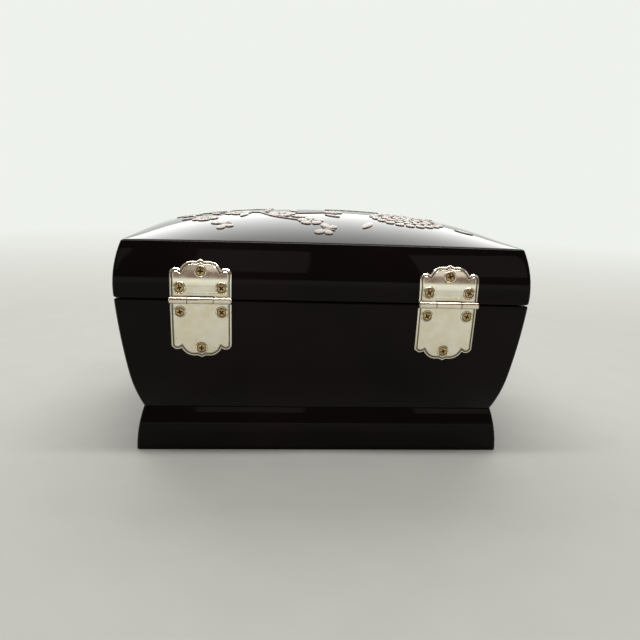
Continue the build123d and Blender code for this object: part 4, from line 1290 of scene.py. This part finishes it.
bolt_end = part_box("pull_bolt")[1].y
bolt = turned("bolt", BOLT_PROFILE)
stretch = (bolt_end - PULL_EYE_Y - BOLT_SHORT_OF_EYE) / BOLT_LENGTH
bolt.data.transform(
    Matrix.Translation((0, bolt_end, PULL_Z)) @ Matrix.Rotation(pi / 2, 4, "X")
    @ Matrix.Scale(stretch, 4, (0, 0, 1))
)
eye = wire_ring("eye", (0, PULL_EYE_Y, PULL_Z), ALONG_X, EYE_RADIUS, EYE_THICKNESS, 48, 16)
for vertex in eye.data.vertices:
    vertex.co.x *= EYE_BREADTH
pull_bolt = join([bolt, eye], "pull_eye_bolt")
settle(pull_bolt, 40)
fit(pull_bolt, "drawer", "plated_brass", plate_finish, "pull_bolt")

ring_low, ring_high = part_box("pull_ring")
ring_middle = (ring_low + ring_high) / 2
pull_ring = wire_ring("pull_drop_ring", ring_middle, THROUGH_SIDE, RING_RADIUS, RING_THICKNESS, 72, 18)
for vertex in pull_ring.data.vertices:
    hang = max(0, ring_middle.z - vertex.co.z) / (8 * MM)
    thickness = RING_TOP_SHARE + RING_FOOT_MORE * hang
    vertex.co.y = ring_middle.y + (vertex.co.y - ring_middle.y) * thickness
settle(pull_ring, 40)
fit(pull_ring, "pull", "plated_brass", plate_finish, "pull_ring")
finish_node("pull_nut", plate_finish)


# Boards: planed pale softwood, left unfinished, with the grain along each board, glued and pinned together.
# The frame's own shapes are right.
WOOD_BANDS = (
    (0.3, (0.36, 0.22, 0.11)), (0.48, (0.52, 0.36, 0.2)), (0.56, (0.43, 0.28, 0.15)),
    (0.7, (0.58, 0.42, 0.25)),
)
wood, tree, shader = new_finish("pale_wood", Roughness=0.62)
feed(tree, shader, Base_Color=ramp(tree, grain(tree, 55, 6, (0.08, 1, 1)), *WOOD_BANDS))
bump(tree, shader, grain(tree, 700, 3, (0.05, 1, 1)), 0.25, 0.2 * MM)
for name in (
    "floor_board", "divider_board", "drawer_runner_left", "drawer_runner_right", "drawer_guide_left",
    "drawer_guide_right", "drawer_left_side", "drawer_right_side", "drawer_back", "drawer_bottom",
):
    finish_node(name, wood)


# Velvet: deep crimson cotton velvet, glued over card for the walls and partitions, and over wadding for the
# pads, the lid's ceiling and the ring rolls.
VELVET_SHADE = (0.13, 0.008, 0.014)
VELVET_CRIMSON = (0.26, 0.018, 0.026)
VELVET_SHEEN = (0.95, 0.45, 0.42, 1)
PAD_ROUND = 0.7 * MM
PAD_SWELL = 0.8 * MM
DRAWER_PAD_SWELL = 0.6 * MM
PARTITION_ROUND = 1.1 * MM
PARTITION_SWELL = 0.3 * MM
CEILING_ROUND = 0.4 * MM
SWELL_STEP = 7 * MM
SWELL_REACH = 6 * MM
velvet, tree, shader = new_finish(
    "crimson_velvet", Roughness=0.92, Specular_IOR_Level=0.15, Sheen_Weight=0.55, Sheen_Roughness=0.35,
    Sheen_Tint=VELVET_SHEEN,
)
feed(tree, shader, Base_Color=ramp(tree, grain(tree, 24, 4), (0.3, VELVET_SHADE), (0.7, VELVET_CRIMSON)))
bump(tree, shader, grain(tree, 2600, 2), 0.5, 0.3 * MM)


def cover(piece, body, node):
    """Finishes a soft piece in velvet in the place of its node."""
    settle(piece, 60)
    fit(piece, body, "velvet", velvet, node)


def soft_board(name, node, body, round_off, swell):
    """Velvet-covered board or pad in a node's place, its edges rounded over and its faces a bit swollen."""
    low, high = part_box(node)
    size = high - low
    middle = (low + high) / 2
    board = block(name, size, middle)
    for axis in range(3):
        steps = max(1, int(size[axis] / SWELL_STEP))
        sliced(board, axis, between(low[axis], high[axis], steps)[1:-1])
    apply_modifier(board, "BEVEL", width=round_off, segments=3, limit_method="ANGLE")
    thin = min(range(3), key=lambda axis: size[axis])
    for vertex in board.data.vertices:
        share = 1.0
        for axis in range(3):
            if axis != thin:
                reach = min(vertex.co[axis] - low[axis], high[axis] - vertex.co[axis])
                share *= min(1.0, max(0.0, reach) / SWELL_REACH) ** 0.5
        side = 1 if vertex.co[thin] > middle[thin] else -1
        vertex.co[thin] -= side * swell * (1 - share)
    cover(board, body, node)


soft_board("floor_cushion", "compartment_pad", "case", PAD_ROUND, PAD_SWELL)
soft_board("drawer_cushion", "drawer_pad", "drawer", DRAWER_PAD_SWELL, DRAWER_PAD_SWELL)
for node, name in (("long_partition", "long_divider"), ("short_partition_left", "left_divider"),
                   ("short_partition_right", "right_divider")):
    soft_board(name, node, "case", PARTITION_ROUND, PARTITION_SWELL)

# Ring rolls: four full rounds of wadding under velvet, pinched a little along their length, with soft ends.
# They lie side by side in one compartment, and rings are pushed in between them.
ROLL_COUNT = 4
ROLL_STEPS = 60
ROLL_ROUND = 2.2 * MM
ROLL_DIP = 0.12 * MM
ROLL_PINCH = 0.012


def roll_wave(x, number):
    """How far a roll is drawn in at a place along it, each roll in its own way."""
    return 0.35 * sin(x * 95 + number * 2.1) + 0.25 * sin(x * 213 + number * 4.7)


rolls_low, rolls_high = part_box("ring_rolls")
roll_radius = (rolls_high.z - rolls_low.z) / 2
roll_step = (rolls_high.y - rolls_low.y - 2 * roll_radius) / (ROLL_COUNT - 1)
rolls = []
for number in range(ROLL_COUNT):
    middle = (0, rolls_low.y + roll_radius + number * roll_step, rolls_low.z + roll_radius)
    roll = rod(middle, ALONG_X, roll_radius, rolls_high.x - rolls_low.x, 40)
    sliced(roll, 0, between(rolls_low.x, rolls_high.x, ROLL_STEPS)[1:-1])
    apply_modifier(
        roll, "BEVEL", width=ROLL_ROUND, segments=4, limit_method="ANGLE", angle_limit=radians(50)
    )
    for vertex in roll.data.vertices:
        wave = roll_wave(vertex.co.x, number)
        vertex.co.y = middle[1] + (vertex.co.y - middle[1]) * (1 - ROLL_PINCH * (1 + wave))
        vertex.co.z -= ROLL_DIP * (1 + wave) * (vertex.co.z > middle[2])
    rolls.append(roll)
cover(join(rolls, "ring_cushion"), "case", "ring_rolls")

# Linings: velvet over card round the walls of the case and of the lid, glued in.
# The top edges are rolled over, and the faces are a little full.
LINING_WALL = 1.6 * MM
LINING_FULL = 0.35 * MM
LINING_ROUND = 0.6 * MM
LINING_FIT = 0.15 * MM


def lining(name, node, body, outer_half):
    """Velvet-covered card round a compartment's walls, from the half width and half depth at each height."""
    low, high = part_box(node)
    levels = between(low.z, high.z, 8)
    stops = [(outer_half(z), z) for z in levels]
    for z in reversed(levels):
        half_x, half_y = outer_half(z)
        depth = LINING_WALL + LINING_FULL * (1 - abs(2 * (z - low.z) / (high.z - low.z) - 1) ** 3)
        stops.append(((half_x - depth, half_y - depth), z))
    cloth = walled_ring(name, stops, cuts=23)
    apply_modifier(
        cloth, "BEVEL", width=LINING_ROUND, segments=3, limit_method="ANGLE", angle_limit=radians(50)
    )
    cover(cloth, body, node)


lid_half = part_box("lid_liner")[1].xy
inner_face = CASE_WALL + LINING_FIT
lining("case_lining", "compartment_liner", "case", lambda z: half_plan(case_inset(z) + inner_face))
lining("lid_lining", "lid_liner", "lid", lambda z: lid_half)
soft_board("ceiling_cloth", "ceiling_board", "lid", CEILING_ROUND, 0)


# Mirror: silvered glass let into the lid's ceiling, under a bezel pressed from plated sheet brass.
# The bezel has a rounded bead along its inner edge.
GLASS_GREENISH = (0.86, 0.89, 0.88)
GLASS_CLEAR = (0.9, 0.92, 0.91)
BEZEL_SECTION = (
    (0, 0), (0, 0.7), (0.5, 0.9), (1.4, 1.0), (2.4, 0.92), (3.1, 0.72), (3.4, 0.66), (3.9, 0.8), (4.6, 0.98),
    (5.4, 1.0), (6.2, 0.9), (6.8, 0.72), (7.0, 0.0),
)
glass, tree, shader = new_finish("mirror_glass", Metallic=1.0)
haze = grain(tree, 60, 3)
silver = ramp(tree, haze, (0.3, GLASS_GREENISH), (0.7, GLASS_CLEAR))
feed(tree, shader, Base_Color=silver, Roughness=ramp(tree, haze, (0.4, 0.01), (0.75, 0.035)))
finish_node("lid_mirror", glass)

bezel_low, bezel_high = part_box("mirror_bezel")
half_x, half_y = (bezel_high.xy - bezel_low.xy) / 2
height = bezel_high.z - bezel_low.z
bezel = walled_ring(
    "mirror_frame",
    [((half_x - inwards * MM, half_y - inwards * MM), bezel_high.z - share * height)
     for inwards, share in BEZEL_SECTION],
)
settle(bezel, 25)
fit(bezel, "lid", "plated_brass", plate_finish, "mirror_bezel")


# Felt: a sheet of dark green wool felt, glued under the floor board inside the plinth.
# Its under side is a little uneven.
FELT_DARK = (0.022, 0.03, 0.018)
FELT_GREEN = (0.07, 0.09, 0.06)
FELT_UNEVEN = 0.15 * MM
felt, tree, shader = new_finish("green_felt", Roughness=0.96, Sheen_Weight=0.25)
wool = grain(tree, 420, 6)
feed(tree, shader, Base_Color=ramp(tree, wool, (0.3, FELT_DARK), (0.7, FELT_GREEN)))
bump(tree, shader, wool, 0.6, 0.4 * MM)
felt_low, felt_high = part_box("base_felt")
felt_sheet = block("felt_sheet", felt_high - felt_low, (felt_low + felt_high) / 2)
for axis, count in ((0, 24), (1, 16)):
    sliced(felt_sheet, axis, between(felt_low[axis], felt_high[axis], count)[1:-1])
for vertex in felt_sheet.data.vertices:
    if vertex.co.z < felt_low.z + TINY:
        vertex.co.z += FELT_UNEVEN * (1 + sin(vertex.co.x * 170) * sin(vertex.co.y * 230))
settle(felt_sheet, 50)
fit(felt_sheet, "case", "felt", felt, "base_felt")
